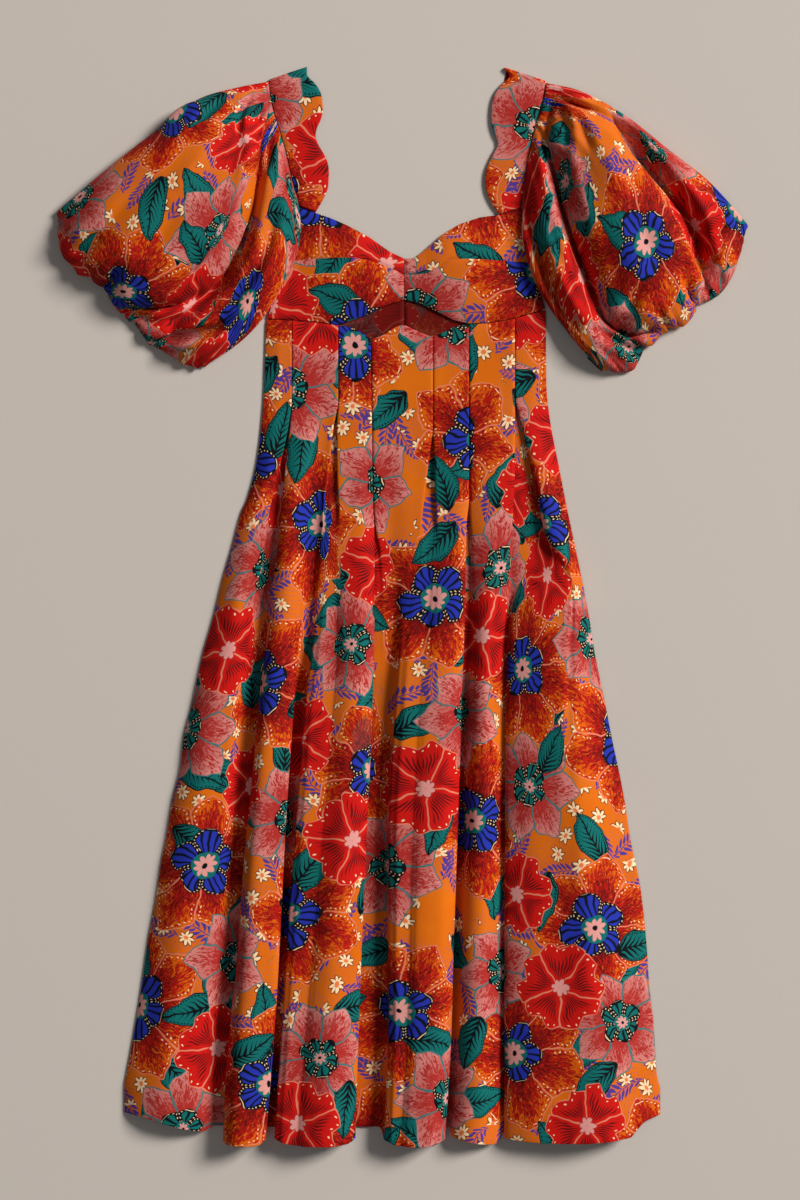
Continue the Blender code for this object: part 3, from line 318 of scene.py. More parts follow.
# each pleat down the skirt: y, then its left edge x, the tuck under it and its height, the floor's height,
# and the right edge's height, tuck and x
PLEATS = {
    "side_left": [
        (340.9, -132.1, 15, 5.6, 2.1, 5.6, 15, -130.9),
        (243.4, -132.1, 15, 5.7, 2.1, 5.7, 15, -130.9),
        (210, -136.3, 12, 6.2, 2.2, 6.4, 12, -133.6),
        (163.6, -146.1, 9, 7.5, 2.4, 8, 9, -138.6),
        (99.4, -160.3, 7, 9, 2.6, 10, 8, -144.8),
        (49.4, -166.6, 4, 10, 2.8, 11, 8, -149.9),
        (11.3, -174.9, -1, 10.5, 3, 11.5, 8, -157.7),
        (-42.2, -183.9, -6, 11, 3, 12, 8, -161.2),
        (-101.7, -195.8, -11, 12, 3.2, 13, 8.5, -168.4),
        (-182.7, -205.3, -13, 12, 3.2, 13, 9, -175.5),
        (-308.8, -216, -14, 12, 3.2, 13, 9, -188),
        (-431.4, -224.9, -14, 11, 3.2, 13, 9, -196.9),
        (-544.4, -235, -13, 10, 3.2, 12, 9, -208.2),
        (-636.1, -237.4, -12, 9, 3.2, 12, 9, -212.8),
    ],
    "mid_left": [
        (340.9, -76.8, 13, 5.6, 2.1, 5.6, 13, -75.6),
        (251.7, -76.8, 13, 5.6, 2.1, 5.6, 13, -75.6),
        (214.8, -82.7, 11, 6, 2.2, 6, 12, -77.5),
        (191, -85.1, 9, 6.2, 2.3, 6.4, 11, -77.5),
        (154.1, -89.5, 5, 6.6, 3, 7.6, 8, -76.8),
        (126.7, -93.2, 1, 7, 4.6, 8.4, 2, -75.6),
        (98.2, -95.1, -5, 7.4, 7.6, 9.6, -6, -74.4),
        (55.3, -97.5, -7, 8.4, 10, 12, -8, -72),
        (11.3, -101.1, -8, 9, 11.5, 15, -8, -70.8),
        (-25.6, -103.6, -8, 9.4, 13, 17.5, -8, -70.2),
        (-113.6, -114.5, -8, 14, 18, 21, -8, -74.4),
        (-261.2, -126, -8, 16.5, 20.5, 23, -8, -86.3),
        (-339.7, -132, -8, 17, 21, 24, -8, -93.4),
        (-480.2, -141, -8, 17.5, 21.5, 25, -8, -105.3),
        (-634.9, -151.5, -8, 17.5, 21.5, 25, -8, -117.2),
    ],
    "front_left": [
        (340.9, -38.1, 13, 5.6, 2.1, 5.6, 15, -36.9),
        (126.7, -35.1, 13, 5.8, 2.1, 5.7, 13, -33.7),
        (102.9, -33.9, 12, 7, 2.3, 5.2, 6, -31.1),
        (68.4, -33.9, 11, 9, 2.5, 4.2, -3, -25.6),
        (5.4, -33.9, 10, 11, 2.8, 3.4, -4, -22),
        (-113.6, -36.3, 9, 13, 3, 3.2, -4, -24.4),
        (-261.2, -42.8, 9, 14, 3, 3.2, -4, -31.5),
        (-480.2, -51.8, 9, 14, 3, 3.2, -4, -39.9),
        (-634.9, -56.5, 9, 14, 3, 3.2, -4, -44.6),
    ],
    "front_right": [
        (340.9, 35.7, 15, 5.6, 2.1, 5.6, 13, 36.9),
        (231.5, 35.7, 15, 5.6, 2.1, 5.6, 13, 36.9),
        (191, 31.2, 10, 6, 2.2, 6.4, 11, 38.2),
        (150.5, 26.4, 6, 6.8, 2.8, 7.4, 8, 39.2),
        (120.8, 23.2, 2, 7.6, 4.6, 8.6, 2, 40.3),
        (98.2, 21.3, -3, 8.4, 7.6, 9.8, -4, 41.5),
        (68.4, 17.3, -6, 9.4, 10, 12, -8, 42.7),
        (31.5, 7.7, -9, 10.4, 11.6, 14.6, -10, 43),
        (-1.8, 2.5, -10, 11.4, 13, 17, -10, 39.9),
        (-54.1, -3, -10, 14, 17.5, 20, -10, 33.9),
        (-113.6, -7.7, -10, 16, 20.5, 23, -8, 28),
        (-261.2, -15.4, -9, 17, 22, 25, -8, 19.6),
        (-480.2, -15.7, -8, 17.5, 22.5, 26, -8, 13.7),
        (-634.9, -21.2, -8, 17.5, 22.5, 26, -8, 5.4),
    ],
    "mid_right": [
        (340.9, 78.5, 15, 5.6, 2.1, 5.6, 15, 79.7),
        (129.1, 78.7, 15, 5.9, 2.1, 5.8, 13, 80.3),
        (102.9, 76, 12, 7.6, 2.4, 6, 6, 81),
        (68.4, 75, 11, 9, 2.6, 6.6, -2, 83.2),
        (5.4, 73.9, 9, 11, 2.8, 8.6, -4, 85.1),
        (-113.6, 69.6, 8, 13, 3, 10.4, -4.5, 81.5),
        (-261.2, 65.1, 8, 14, 3, 11.4, -4.5, 76.8),
        (-411.1, 60, 8, 14, 3, 12, -4.5, 71.5),
        (-521.8, 56.9, 8, 14, 3, 12, -4.5, 68.4),
        (-634.9, 49.9, 7, 14, 3, 12, -3, 59.4),
    ],
}
# the right side pleat turns over on its way down: y, then x and height of its eight points
TURNED_PLEAT = [
    (340.9, 133.3, 5.6, 133.3, 4, 118.4, 3.7, 118.4, 2.1, 149.3, 2.1, 149.3, 3.7, 134.5, 4, 134.5, 5.6),
    (245.7, 133.3, 5.6, 133.3, 4, 118.4, 3.7, 118.4, 2.1, 149.3, 2.1, 149.3, 3.7, 134.7, 4, 134.7, 5.6),
    (218.4, 133.4, 6, 133.4, 4.4, 119.6, 3.9, 119.6, 2.2, 152.9, 2.2, 152.9, 3.9, 140.4, 4.4, 140.4, 6),
    (180.3, 133.5, 6.5, 133.5, 4.8, 122, 4.1, 122, 2.4, 158.9, 2.4, 158.9, 4.1, 148.6, 5.2, 148.6, 7),
    (116, 131.3, 8, 131.3, 6.2, 124.4, 4.6, 124.4, 2.8, 170.8, 2.8, 170.8, 4.8, 162.4, 7, 162.4, 9),
    (79.1, 128.5, 8, 129.1, 6.2, 127.9, 4.6, 127.9, 3, 177.9, 4.4, 177.9, 6.6, 170.8, 9.4, 170.8, 11.6),
    (37.5, 120.8, 8, 125.5, 5.4, 128.6, 3.6, 130.3, 3.2, 163.6, 8, 175.5, 11.4, 185, 14.4, 193.4, 16.6),
    (-1.8, 117.2, 8.6, 124.4, 5, 128.4, 3.2, 130.8, 3.6, 132.2, 9, 142.2, 14.6, 169.6, 19.6, 199.3,
     21.6),
    (-51.8, 114.8, 9, 123.2, 4.8, 129.7, 3, 131.5, 4.8, 125.5, 8, 127.9, 13, 154.1, 20, 194.6, 23),
    (-182.7, 111.9, 9, 121.4, 4.6, 128.5, 3, 130.3, 4.8, 122.7, 8.2, 125.5, 13, 150.5, 21, 187.4, 25),
    (-339.7, 111.3, 9, 120.8, 4.6, 127.4, 3, 129.1, 4.8, 121.5, 8.2, 124.4, 13, 149.3, 21, 187.4, 25),
    (-634.9, 111.3, 9, 120.8, 4.6, 127, 3, 128.6, 4.8, 121, 8.2, 124.4, 13, 149.3, 21, 189.8, 25),
]
# panel between the side pleat and the mid pleat at the left: y, then x and height of five points across it
TUBE_PANEL = [
    (340.9, -122, 5.2, -112.5, 4.9, -102.9, 4.8, -94.6, 4.8, -85.1, 5.2),
    (245.7, -122, 5.6, -113.6, 5.4, -104.1, 5, -95.8, 4.8, -85.1, 5.2),
    (198.1, -126.7, 9, -118.4, 9.6, -110.1, 8, -101.7, 5.4, -91, 5.2),
    (154.1, -130.3, 12.4, -122, 13, -113.6, 10, -106.5, 5, -95.3, 4.8),
    (102.9, -136.3, 15, -126.7, 15.6, -117.2, 11, -111.3, 4.2, -99.4, 4),
    (5.4, -147.6, 18, -133.9, 18.6, -121.4, 12, -117.2, 4.2, -104.6, 3.8),
    (-113.6, -160.7, 22, -140.6, 21.5, -128.5, 16, -131.5, 3.2, -113, 3),
    (-261.2, -174.3, 24.5, -151.5, 23, -138.5, 18, -142, 3.2, -121, 3),
    (-339.7, -179.7, 25.5, -155.2, 23.5, -142.5, 19, -146, 3.2, -127, 3),
    (-480.2, -190.4, 26.5, -163.2, 24, -150, 19, -153.5, 3.2, -136, 3),
    (-634.9, -200.5, 27, -174.3, 24.5, -162, 18.5, -165, 3.2, -147, 3),
]
# panel between the two front pleats, the wide valley: y, then x and height of three points
VALLEY_PANEL = [
    (340.9, -19.6, 5.2, -0.6, 5.2, 18.4, 5.2),
    (191, -19.6, 5.2, -1.8, 5.3, 16.1, 5.6),
    (150.5, -18.4, 5, -1.8, 5.6, 13.7, 6.2),
    (102.9, -17.3, 4.4, -4.2, 5.6, 10.1, 7.4),
    (68.4, -14.9, 4, -4.2, 5.8, 7.7, 8),
    (5.4, -13.7, 3.6, -6.5, 5, -1.3, 9),
    (-54.1, -17.3, 3.4, -10.6, 4.8, -5.8, 9.6),
    (-113.6, -19.6, 3.3, -14.2, 4.2, -10.1, 9),
    (-261.2, -27.5, 3.2, -19.5, 3.4, -16.9, 9.5),
    (-480.2, -34.4, 3.2, -20.5, 3.4, -16.8, 9.5),
    (-634.9, -38.7, 3.2, -26.2, 3.4, -22.2, 9),
]
# a sleeve's lines from the armhole to its end, round its ring: x, y, height of six points on each
SLEEVE_LEFT = {
    "top_edge": [(-158.6, 624.2, 3), (-195.8, 616.4, 7), (-241, 602.7, 9), (-296.9, 561.1, 10),
                 (-351.6, 518.2, 10), (-407.6, 470.6, 9)],
    "top_roll": [(-158.3, 614.6, 4.6), (-199.3, 601.5, 20), (-245.7, 586.1, 28), (-299.3, 543.2, 30),
                 (-355.2, 499.2, 28), (-409.2, 446.8, 20)],
    "outer": [(-156.8, 605.1, 4.8), (-202.9, 578.9, 30), (-252.9, 552.8, 42), (-302.9, 509.9, 46),
              (-355.2, 469.5, 42), (-406.4, 424.2, 26)],
    "middle": [(-155.2, 595.6, 5), (-200.5, 556.3, 35), (-248.1, 521.8, 48), (-298.1, 479, 52),
               (-343.3, 436.1, 46), (-388.5, 399.2, 26)],
    "inner": [(-153.2, 587.3, 5), (-193.4, 538.5, 36), (-236.2, 490.9, 48), (-281.4, 445.7, 50),
              (-321.9, 410, 46), (-356.4, 380.2, 24)],
    "ridge": [(-151, 580.1, 5), (-183.9, 521.8, 34), (-210, 464.7, 42), (-245.7, 412.3, 42),
              (-286.2, 375.4, 36), (-342.1, 356.4, 22)],
    "crease": [(-147.3, 570.6, 4.6), (-173.1, 513.5, 18), (-189.8, 452.8, 20), (-218.4, 392.1, 19),
               (-257.6, 354, 17), (-318.3, 335, 14)],
    "valley": [(-144.7, 559.9, 5), (-160.1, 498, 19), (-174.3, 439.7, 23), (-200.5, 376.6, 25),
               (-238.6, 340.9, 24), (-302.9, 315.3, 17)],
    "tube": [(-139.8, 543.2, 5.2), (-141, 483.7, 24), (-155.3, 424.2, 32), (-179.1, 368.3, 36),
             (-219.6, 327.8, 33), (-279.1, 300.5, 21)],
    "tube_side": [(-131.9, 507.5, 5.2), (-127.9, 464.7, 17), (-138.6, 413.5, 23), (-166, 360, 26),
                  (-204.1, 317.1, 24), (-256.4, 286.2, 17)],
    "inner_edge": [(-123.3, 475.6, 6.2), (-120.3, 449.2, 9), (-130.3, 404, 9.6), (-159.6, 350.5, 10),
                   (-193.4, 313.6, 9.6), (-236.2, 286.2, 9)],
    "under_roll": [(-126.3, 474.7, 4.6), (-123.9, 448.7, 7.2), (-134.4, 405.2, 7.6), (-163.1, 352.8, 7),
                   (-195.8, 315.9, 5.6), (-238.1, 288.6, 5)],
    "under_wall": [(-129.6, 476.1, 2.4), (-133.4, 450.9, 4.6), (-144.1, 408.3, 4), (-166.7, 355.7, 4),
                   (-197.7, 318.8, 3), (-240.3, 291.4, 2.6)],
    "floor_inner": [(-132, 480.2, 0.5), (-136.7, 452.8, 0.5), (-149.3, 412.3, 0.5), (-172, 361.2, 0.5),
                    (-202.9, 324.3, 0.5), (-244.5, 295.7, 0.5)],
    "floor_low": [(-140.4, 531.3, 0.5), (-160.1, 486.1, 0.5), (-181.5, 448, 0.5), (-212.4, 402.8, 0.5),
                  (-252.9, 367.1, 0.5), (-302.9, 329, 0.5)],
    "floor_high": [(-152.2, 576.6, 0.5), (-183.9, 548, 0.5), (-219.6, 517.1, 0.5), (-262.4, 476.6, 0.5),
                   (-307.6, 436.1, 0.5), (-362.4, 390.9, 0.5)],
    "floor_outer": [(-157.9, 617, 0.5), (-193.4, 608.7, 0.5), (-236.2, 594.4, 0.5), (-291, 552.8, 0.5),
                    (-345.7, 509.9, 0.5), (-400.4, 462.3, 0.5)],
}
SLEEVE_RIGHT = {
    "top_edge": [(170.5, 622.5, 3), (207.7, 613.4, 7), (251.7, 590.8, 9), (308.8, 546.8, 10),
                 (363.5, 504, 10), (408.1, 455.2, 9)],
    "top_roll": [(169.8, 617, 4.6), (210, 606.3, 14), (257.6, 583.7, 18), (313.6, 538.5, 22),
                 (365.9, 489.7, 22), (404, 430.2, 18)],
    "outer": [(169.1, 611.1, 4.8), (211.2, 600.4, 17), (260, 577.7, 21), (311.2, 524.2, 26),
              (358.8, 467.1, 27), (393.3, 395.7, 20)],
    "crease": [(167.9, 605.1, 4.8), (211.2, 592, 19), (255.3, 570.6, 18), (301.7, 511.1, 18),
               (342.1, 450.4, 18), (375.4, 369.5, 15)],
    "ridge": [(166.1, 598, 5), (211.2, 581.3, 29), (245.7, 557.5, 38), (287.4, 498, 42),
              (324.3, 436.1, 38), (355.2, 360, 23)],
    "middle": [(162.7, 586.1, 5), (213.6, 555.1, 36), (239.8, 513.5, 48), (270.7, 452.8, 52),
               (300.5, 398.1, 47), (335, 333.8, 25)],
    "inner": [(159.3, 574.2, 5), (202.9, 531.3, 35), (223.1, 476.6, 46), (248.1, 418.3, 48),
              (275.5, 361.2, 42), (310, 329, 24)],
    "crease_low": [(156.2, 563.5, 4.8), (183.9, 531.3, 22), (195.8, 469.5, 24), (214.8, 407.6, 23),
                   (242.2, 345.7, 21), (288.6, 307.6, 15)],
    "valley": [(153, 549.2, 5), (170.8, 507.5, 23), (182.7, 450.4, 27), (200.5, 394.5, 28),
               (227.9, 331.4, 26), (271.9, 280.2, 17)],
    "tube": [(148.4, 525.4, 5.2), (154.1, 479, 20), (164.8, 424.2, 27), (183.9, 373.1, 29),
             (213.6, 314.8, 27), (250.5, 279.5, 18)],
    "inner_edge": [(142.9, 474.7, 6.2), (142.2, 442.1, 9), (154.8, 392.1, 9.6), (169.6, 362.4, 10),
                   (202.9, 317.1, 9.6), (231.5, 287.9, 9)],
    "under_roll": [(146.3, 473.7, 4.6), (145.8, 441.6, 7.2), (158.9, 394.5, 7.6), (172.7, 364.7, 7),
                   (205.3, 319, 5.6), (233.4, 290.2, 5)],
    "under_wall": [(149.6, 475.2, 2.4), (154.8, 442.8, 4.6), (168.9, 397.3, 4), (176.2, 367.8, 4),
                   (207.7, 321.9, 3), (235.5, 292.9, 2.6)],
    "floor_inner": [(152, 479, 0.5), (158.2, 444.9, 0.5), (172.4, 401.6, 0.5), (181.5, 373.1, 0.5),
                    (212.4, 327.1, 0.5), (239.8, 298.1, 0.5)],
    "floor_low": [(154.1, 521.8, 0.5), (182.7, 488.5, 0.5), (208.8, 445.7, 0.5), (237.4, 410, 0.5),
                  (275.5, 369.5, 0.5), (296.9, 333.8, 0.5)],
    "floor_high": [(162.9, 569.4, 0.5), (201.7, 552.8, 0.5), (237.4, 524.2, 0.5), (282.6, 483.7, 0.5),
                   (325.5, 440.9, 0.5), (354, 386.2, 0.5)],
    "floor_outer": [(168.9, 614.6, 0.5), (206.5, 605.6, 0.5), (246.9, 582.5, 0.5), (302.9, 539.7, 0.5),
                    (356.4, 495.6, 0.5), (400, 443.3, 0.5)],
}
# strap in front, from the shoulder down: neck edge x, y, armhole edge x, y
STRAP_LEFT = [
    (-113.6, 639.6, -158.2, 624.6), (-113.2, 631.3, -157.7, 617), (-103.3, 620.9, -156.5, 608.2),
    (-97.5, 611.1, -155.3, 600.8), (-95.3, 600.4, -154.1, 594.4), (-94.8, 589.6, -152, 586.1),
    (-97, 579.5, -149.1, 577), (-101.7, 568.7, -145.8, 568.2), (-103.3, 559.9, -143.9, 559.9),
    (-100.1, 549.2, -141, 550.9), (-94.6, 539.7, -138.6, 542), (-89.8, 530.1, -136.3, 532.5),
    (-87.7, 519.9, -134.1, 522.3), (-87.9, 507.5, -131.7, 511.1), (-88.7, 498, -128.9, 500.9),
    (-91.7, 489.7, -126.7, 491.4), (-95.8, 481.4, -124.8, 483.7), (-103.3, 468.7, -122.9, 476.4),
]
STRAP_RIGHT = [
    (121, 638.9, 169.6, 623), (127.4, 630.8, 168.9, 615.8), (119.6, 622.1, 167.4, 607.5),
    (113.6, 615.3, 165.5, 599.9), (109.7, 608.7, 163.6, 592.7), (106.5, 598, 161.2, 584.2),
    (105.3, 585.6, 158.9, 575.4), (105.8, 574.2, 156, 566.3), (108.5, 563.5, 154.1, 558.7),
    (113.6, 549.7, 152.2, 549.2), (108.2, 538.5, 150.3, 540.1), (102.7, 527.1, 148.4, 530.6),
    (99.4, 517.1, 147, 521.1), (98.2, 506.3, 145.8, 510.4), (99.4, 496.1, 144.6, 500.4),
    (102.5, 486.6, 143.4, 491.4), (107.7, 476.6, 142.7, 483), (115.3, 466.1, 142.2, 475.2),
]
# edges of the cup panels, each from the outer end to the other: x, y
NECK_LEFT = [
    (-122.7, 475.5), (-113.2, 471.4), (-103.2, 467.8), (-86.3, 462), (-66, 453.2), (-39.9, 439),
    (-14.3, 421), (1.7, 413.9),
]
CUP_SEAM_LEFT = [
    (-137.4, 410.2), (-130.3, 410.9), (-112.5, 412.3), (-94.6, 413.5), (-74.4, 414.2), (-55.3, 414),
    (-37.5, 410), (-19.6, 404.4), (1.7, 394.7),
]
BODICE_EDGE_LEFT = [
    (-160.8, 342.6), (-139.8, 341.4), (-117.2, 339.9), (-97, 337.6), (-76.8, 334.9), (-61.3, 340),
    (-39.9, 347.8), (-19.6, 358.1), (1.7, 365.4),
]
NECK_RIGHT = [
    (2.1, 413.8), (13.7, 413.8), (26.8, 423.6), (47.6, 442.1), (68.4, 454.7), (91, 462.3),
    (104.1, 464.2), (115.3, 465.4), (129.1, 469.9), (142, 474.3),
]
CUP_SEAM_RIGHT = [
    (2.1, 394.6), (16.1, 394.6), (30.3, 395.9), (42.2, 404), (55.3, 411.9), (73.2, 412.8),
    (92.2, 412.3), (116, 410.9), (137.4, 409.7), (154.1, 409),
]
BODICE_EDGE_RIGHT = [
    (2.1, 365.3), (22, 360.5), (42.2, 350.1), (60.1, 340.9), (78.5, 336.3), (104.1, 337.6),
    (130.3, 342.4), (151.7, 348.6), (169.6, 353.8),
]
# the plain part of each strap behind: inner edge x, y, armhole edge x, y
STRAP_BACK_LEFT = [
    (-116.5, 637.7, -157, 623.9), (-116, 614.6, -153.9, 607.5), (-107.7, 590.8, -149.3, 583.7),
    (-105.8, 559.9, -141, 557.5), (-104.6, 531.3, -134.4, 531.3), (-104.1, 495.6, -126.7, 495.6),
    (-103.6, 467.1, -122.5, 469.5), (-102.9, 436.1, -124.8, 438.5), (-101.7, 410, -132, 410),
    (-101, 384.5, -141, 384.5),
]
STRAP_BACK_RIGHT = [
    (123.4, 637.2, 168.4, 622.5), (119.6, 614.6, 165.1, 607.5), (114.8, 590.8, 159.3, 583.7),
    (114.8, 559.9, 152.2, 557.5), (114.4, 531.3, 147.4, 531.3), (114.4, 495.6, 142.9, 495.6),
    (114.8, 464.7, 140.3, 468.3), (114.4, 436.1, 143.9, 438.5), (113.6, 410, 151, 410),
    (113.2, 384.5, 157.7, 384.5),
]
BACK_TOP = 383.8          # top edge of the bodice back, hidden below the front's neckline
BACK_CENTRE = 2.0         # the centre-back seam
BACK_SIDE_TOP = {-1: -143.4, 1: 159.6}  # side edge of the bodice back at its top
# creases on the sleeves: the line's x, y points, its width and depth in millimetres
CREASES_LEFT = [
    ([(-152, 576), (-169, 535), (-178, 484), (-195, 424), (-222, 381), (-252, 353), (-276, 338),
      (-294, 322)], 8, 17),
    ([(-164, 600), (-176, 566), (-172, 536)], 5, 10),
    ([(-180, 604), (-192, 578), (-196, 552)], 4, 6),
    ([(-148, 566), (-157, 546), (-160, 522)], 4, 8),
    ([(-208, 604), (-230, 584), (-246, 566)], 6, 6),
    ([(-234, 386), (-252, 371), (-286, 359), (-320, 356)], 6, 18),
    ([(-206, 331), (-240, 323), (-268, 318), (-290, 308)], 7, 16),
    ([(-196, 350), (-224, 333), (-250, 326)], 5, 8),
    ([(-330, 400), (-352, 380), (-374, 368)], 8, 11),
    ([(-296, 340), (-316, 345), (-340, 356)], 6, 9),
    ([(-352, 440), (-378, 424), (-400, 418)], 9, 8),
    ([(-206, 452), (-220, 424), (-244, 392), (-270, 374)], 9, -7),
    ([(-150, 470), (-158, 430), (-176, 392), (-200, 360)], 6, 7),
    ([(-262, 470), (-288, 434), (-312, 410)], 13, 5),
    ([(-300, 500), (-330, 470), (-356, 440)], 12, 4),
    ([(-218, 548), (-246, 520), (-270, 486)], 12, -5),
]
CREASES_RIGHT = [
    ([(177, 606), (176, 570), (180, 531), (191, 483), (206, 435), (223, 388), (242, 342),
      (262, 322)], 9, 18),
    ([(256, 583), (271, 550), (299, 516), (327, 484), (346, 454), (353, 423), (360, 372)], 8, 13),
    ([(340, 458), (350, 436), (355, 406), (360, 374)], 7, 10),
    ([(147, 486), (156, 440), (175, 382), (197, 342), (218, 314)], 7, 13),
    ([(184, 606), (200, 598), (226, 588)], 4, 8),
    ([(186, 596), (194, 566), (194, 536)], 5, 7),
    ([(160, 572), (168, 548), (172, 522)], 4, 8),
    ([(205, 578), (216, 558), (222, 536)], 5, 4),
    ([(242, 346), (262, 333), (288, 331), (306, 344)], 7, 16),
    ([(290, 378), (272, 364), (264, 346)], 8, 9),
    ([(226, 330), (256, 314), (280, 300)], 6, 12),
    ([(352, 352), (340, 370), (336, 396)], 6, 10),
    ([(386, 456), (368, 442), (354, 438)], 7, 8),
    ([(226, 560), (244, 520), (262, 470)], 13, -5),
    ([(270, 470), (292, 424), (306, 384)], 14, 5),
    ([(378, 416), (360, 406), (346, 398)], 6, 8),
]
# sharp folds on the sleeves: as above, with how far the cloth on the line's left laps over
FOLDS_LEFT = [
    ([(-286, 322), (-262, 352), (-226, 386), (-199, 426), (-186, 470), (-177, 524), (-170, 574),
      (-158, 604)], 7, 7, 8),
    ([(-322, 357), (-290, 361), (-262, 368), (-240, 384)], 6, 9, 9),
    ([(-306, 314), (-276, 330), (-248, 334), (-214, 336)], 5, 7, 7),
    ([(-366, 378), (-352, 386), (-344, 402)], 5, 6, 5),
    ([(-176, 548), (-168, 572), (-160, 592)], 3, 4, 4),
    ([(-236, 600), (-262, 588), (-286, 566)], 4, 4, 5),
]
FOLDS_RIGHT = [
    ([(180, 604), (178, 566), (183, 528), (196, 478), (212, 430), (230, 384), (248, 346),
      (272, 322)], 7, 8, 8),
    ([(250, 588), (268, 552), (296, 518), (322, 488), (342, 456), (352, 420), (358, 378)], 6, 7, 8),
    ([(236, 352), (252, 336), (282, 330), (312, 340)], 6, 8, 9),
    ([(262, 322), (292, 318), (318, 332)], 5, 6, 6),
    ([(344, 352), (352, 376), (352, 402)], 4, 5, 5),
    ([(164, 590), (176, 560), (184, 530)], 3, 4, 4),
]
# soft dents and ridges down the skirt: as above, a ridge has a negative depth
SKIRT_CREASES = [
    ([(-150, 236), (-158, 150), (-172, 60)], 12, -1.2),
    ([(-112, 180), (-118, 60), (-132, -90), (-140, -260)], 9, 1.6),
    ([(-60, 190), (-62, 90), (-58, -30)], 10, 1.2),
    ([(-50, -60), (-58, -240), (-66, -420), (-68, -600)], 12, 1.8),
    ([(4, 230), (0, 120), (-6, 20)], 12, -1.4),
    ([(58, 150), (60, 20), (50, -140)], 9, 1.4),
    ([(44, -200), (40, -380), (34, -600)], 11, 1.6),
    ([(100, 140), (104, 20), (100, -160), (96, -360)], 12, -1.6),
    ([(206, 60), (222, -80), (236, -240), (244, -420)], 22, 2.6),
    ([(176, 0), (196, -160), (214, -340), (226, -560)], 16, -2.2),
    ([(262, -180), (270, -330), (276, -520)], 14, 1.8),
    ([(-216, -60), (-232, -220), (-248, -400), (-262, -560)], 20, 2.4),
    ([(-188, 60), (-200, -60), (-212, -200)], 10, -1.6),
    ([(-286, -380), (-298, -480), (-306, -580)], 12, 1.6),
]
# where each piece was cut from the printed cloth: shift across and along it, turn in degrees
CUT_FROM = {
    "skirt_front": (0, 0, 0), "skirt_back": (900, 40, 180),
    "cup_upper_left": (420, 130, 4), "cup_upper_right": (-330, 85, -3),
    "cup_lower_left": (-510, -60, -5), "cup_lower_right": (610, 210, 3),
    "bodice_back_left": (-150, 330, 0), "bodice_back_right": (310, -290, 0),
    "strap_left": (-720, 60, 12), "strap_right": (760, -90, -14),
    "sleeve_left": (-870, 510, 10), "sleeve_right": (1120, 650, -8),
}


def curve(start, end, leave, arrive, t):
    """The smooth curve between two values that leaves and arrives with these slopes."""
    return (start * (1 + 2 * t) * (1 - t) ** 2 + end * t * t * (3 - 2 * t)
            + leave * t * (1 - t) ** 2 - arrive * t * t * (1 - t))


def bell(side, middle, width):
    """1 at the middle, fading to nothing over about this width to each side."""
    return np.exp(-((side - middle) / width) ** 2)


def faded(share, faint, soon):
    """Full half way along a line and fading towards its ends."""
    return np.sin(np.pi * np.clip(share, faint, 1 - faint)) ** soon


def at(rows, heights, column=1):
    """One column of a table at these heights, as a smooth curve that never passes its own rows."""
    table = np.array(rows, float)
    places, values = -table[:, 0], table[:, column]
    steps = np.diff(places)
    rises = np.diff(values) / steps
    slopes = np.concatenate([rises[:1], np.zeros(len(rises) - 1), rises[-1:]])
    for i in range(1, len(rises)):
        if rises[i - 1] * rises[i] > 0:
            slopes[i] = 2 / (1 / rises[i - 1] + 1 / rises[i])
    wanted = np.clip(-np.atleast_1d(np.asarray(heights, float)), places[0], places[-1])
    i = np.clip(np.searchsorted(places, wanted) - 1, 0, len(steps) - 1)
    t = (wanted - places[i]) / steps[i]
    return curve(values[i], values[i + 1], steps[i] * slopes[i], steps[i] * slopes[i + 1], t)


def along(points, fractions):
    """Points at these shares of a polyline's length."""
    line = np.array(points, float)
    lengths = np.concatenate([[0], np.cumsum(np.linalg.norm(np.diff(line, axis=0), axis=1))])
    return np.stack([np.interp(np.asarray(fractions) * lengths[-1], lengths, line[:, k])
                     for k in range(line.shape[1])], axis=1)


def through(points, counts, closed=False):
    """Smooth curves through rows of points, count samples to a span, tight by short spans."""
    if closed:
        points = np.concatenate([points[:, -1:], points, points[:, :2]], axis=1)
    chords = np.diff(points, axis=1)
    lengths = np.maximum(np.linalg.norm(chords, axis=2, keepdims=True), LEAST_LENGTH)
    ways = chords / lengths
    turns = ways[:, :-1] + ways[:, 1:]
    turns /= np.maximum(np.linalg.norm(turns, axis=2, keepdims=True), LEAST_LENGTH)
    turns = np.concatenate([ways[:, :1], turns, ways[:, -1:]], axis=1)
    reach = np.minimum(lengths[:, :-1], lengths[:, 1:]) * CURVE_REACH
    reach = np.concatenate([lengths[:, :1], reach, lengths[:, -1:]], axis=1)
    spans = range(1, points.shape[1] - 2) if closed else range(points.shape[1] - 1)
    out = []
    for span, count in zip(spans, counts):
        a, b = points[:, span], points[:, span + 1]
        leave = turns[:, span] * np.minimum(reach[:, span], lengths[:, span])
        arrive = turns[:, span + 1] * np.minimum(reach[:, span + 1], lengths[:, span])
        out.extend(curve(a, b, leave, arrive, k / count) for k in range(count))
    if not closed:
        out.append(points[:, -1])
    return np.stack(out, axis=1)


def shares(count, length):
    """Shares of a length: close steps at both ends, where a sewn edge rolls, and even ones between."""
    ends = np.array(EDGE_STEPS) / length
    middle = np.linspace(ends[-1], 1 - ends[-1], count - 2 * len(EDGE_STEPS) + 2)[1:-1]
    return np.concatenate([ends, middle, 1 - ends[::-1]])


def rolled(distance):
    """How far the cloth dips this far from a sewn edge."""
    return EDGE_ROLL * bell(distance, 0, EDGE_ROLL_WIDTH)


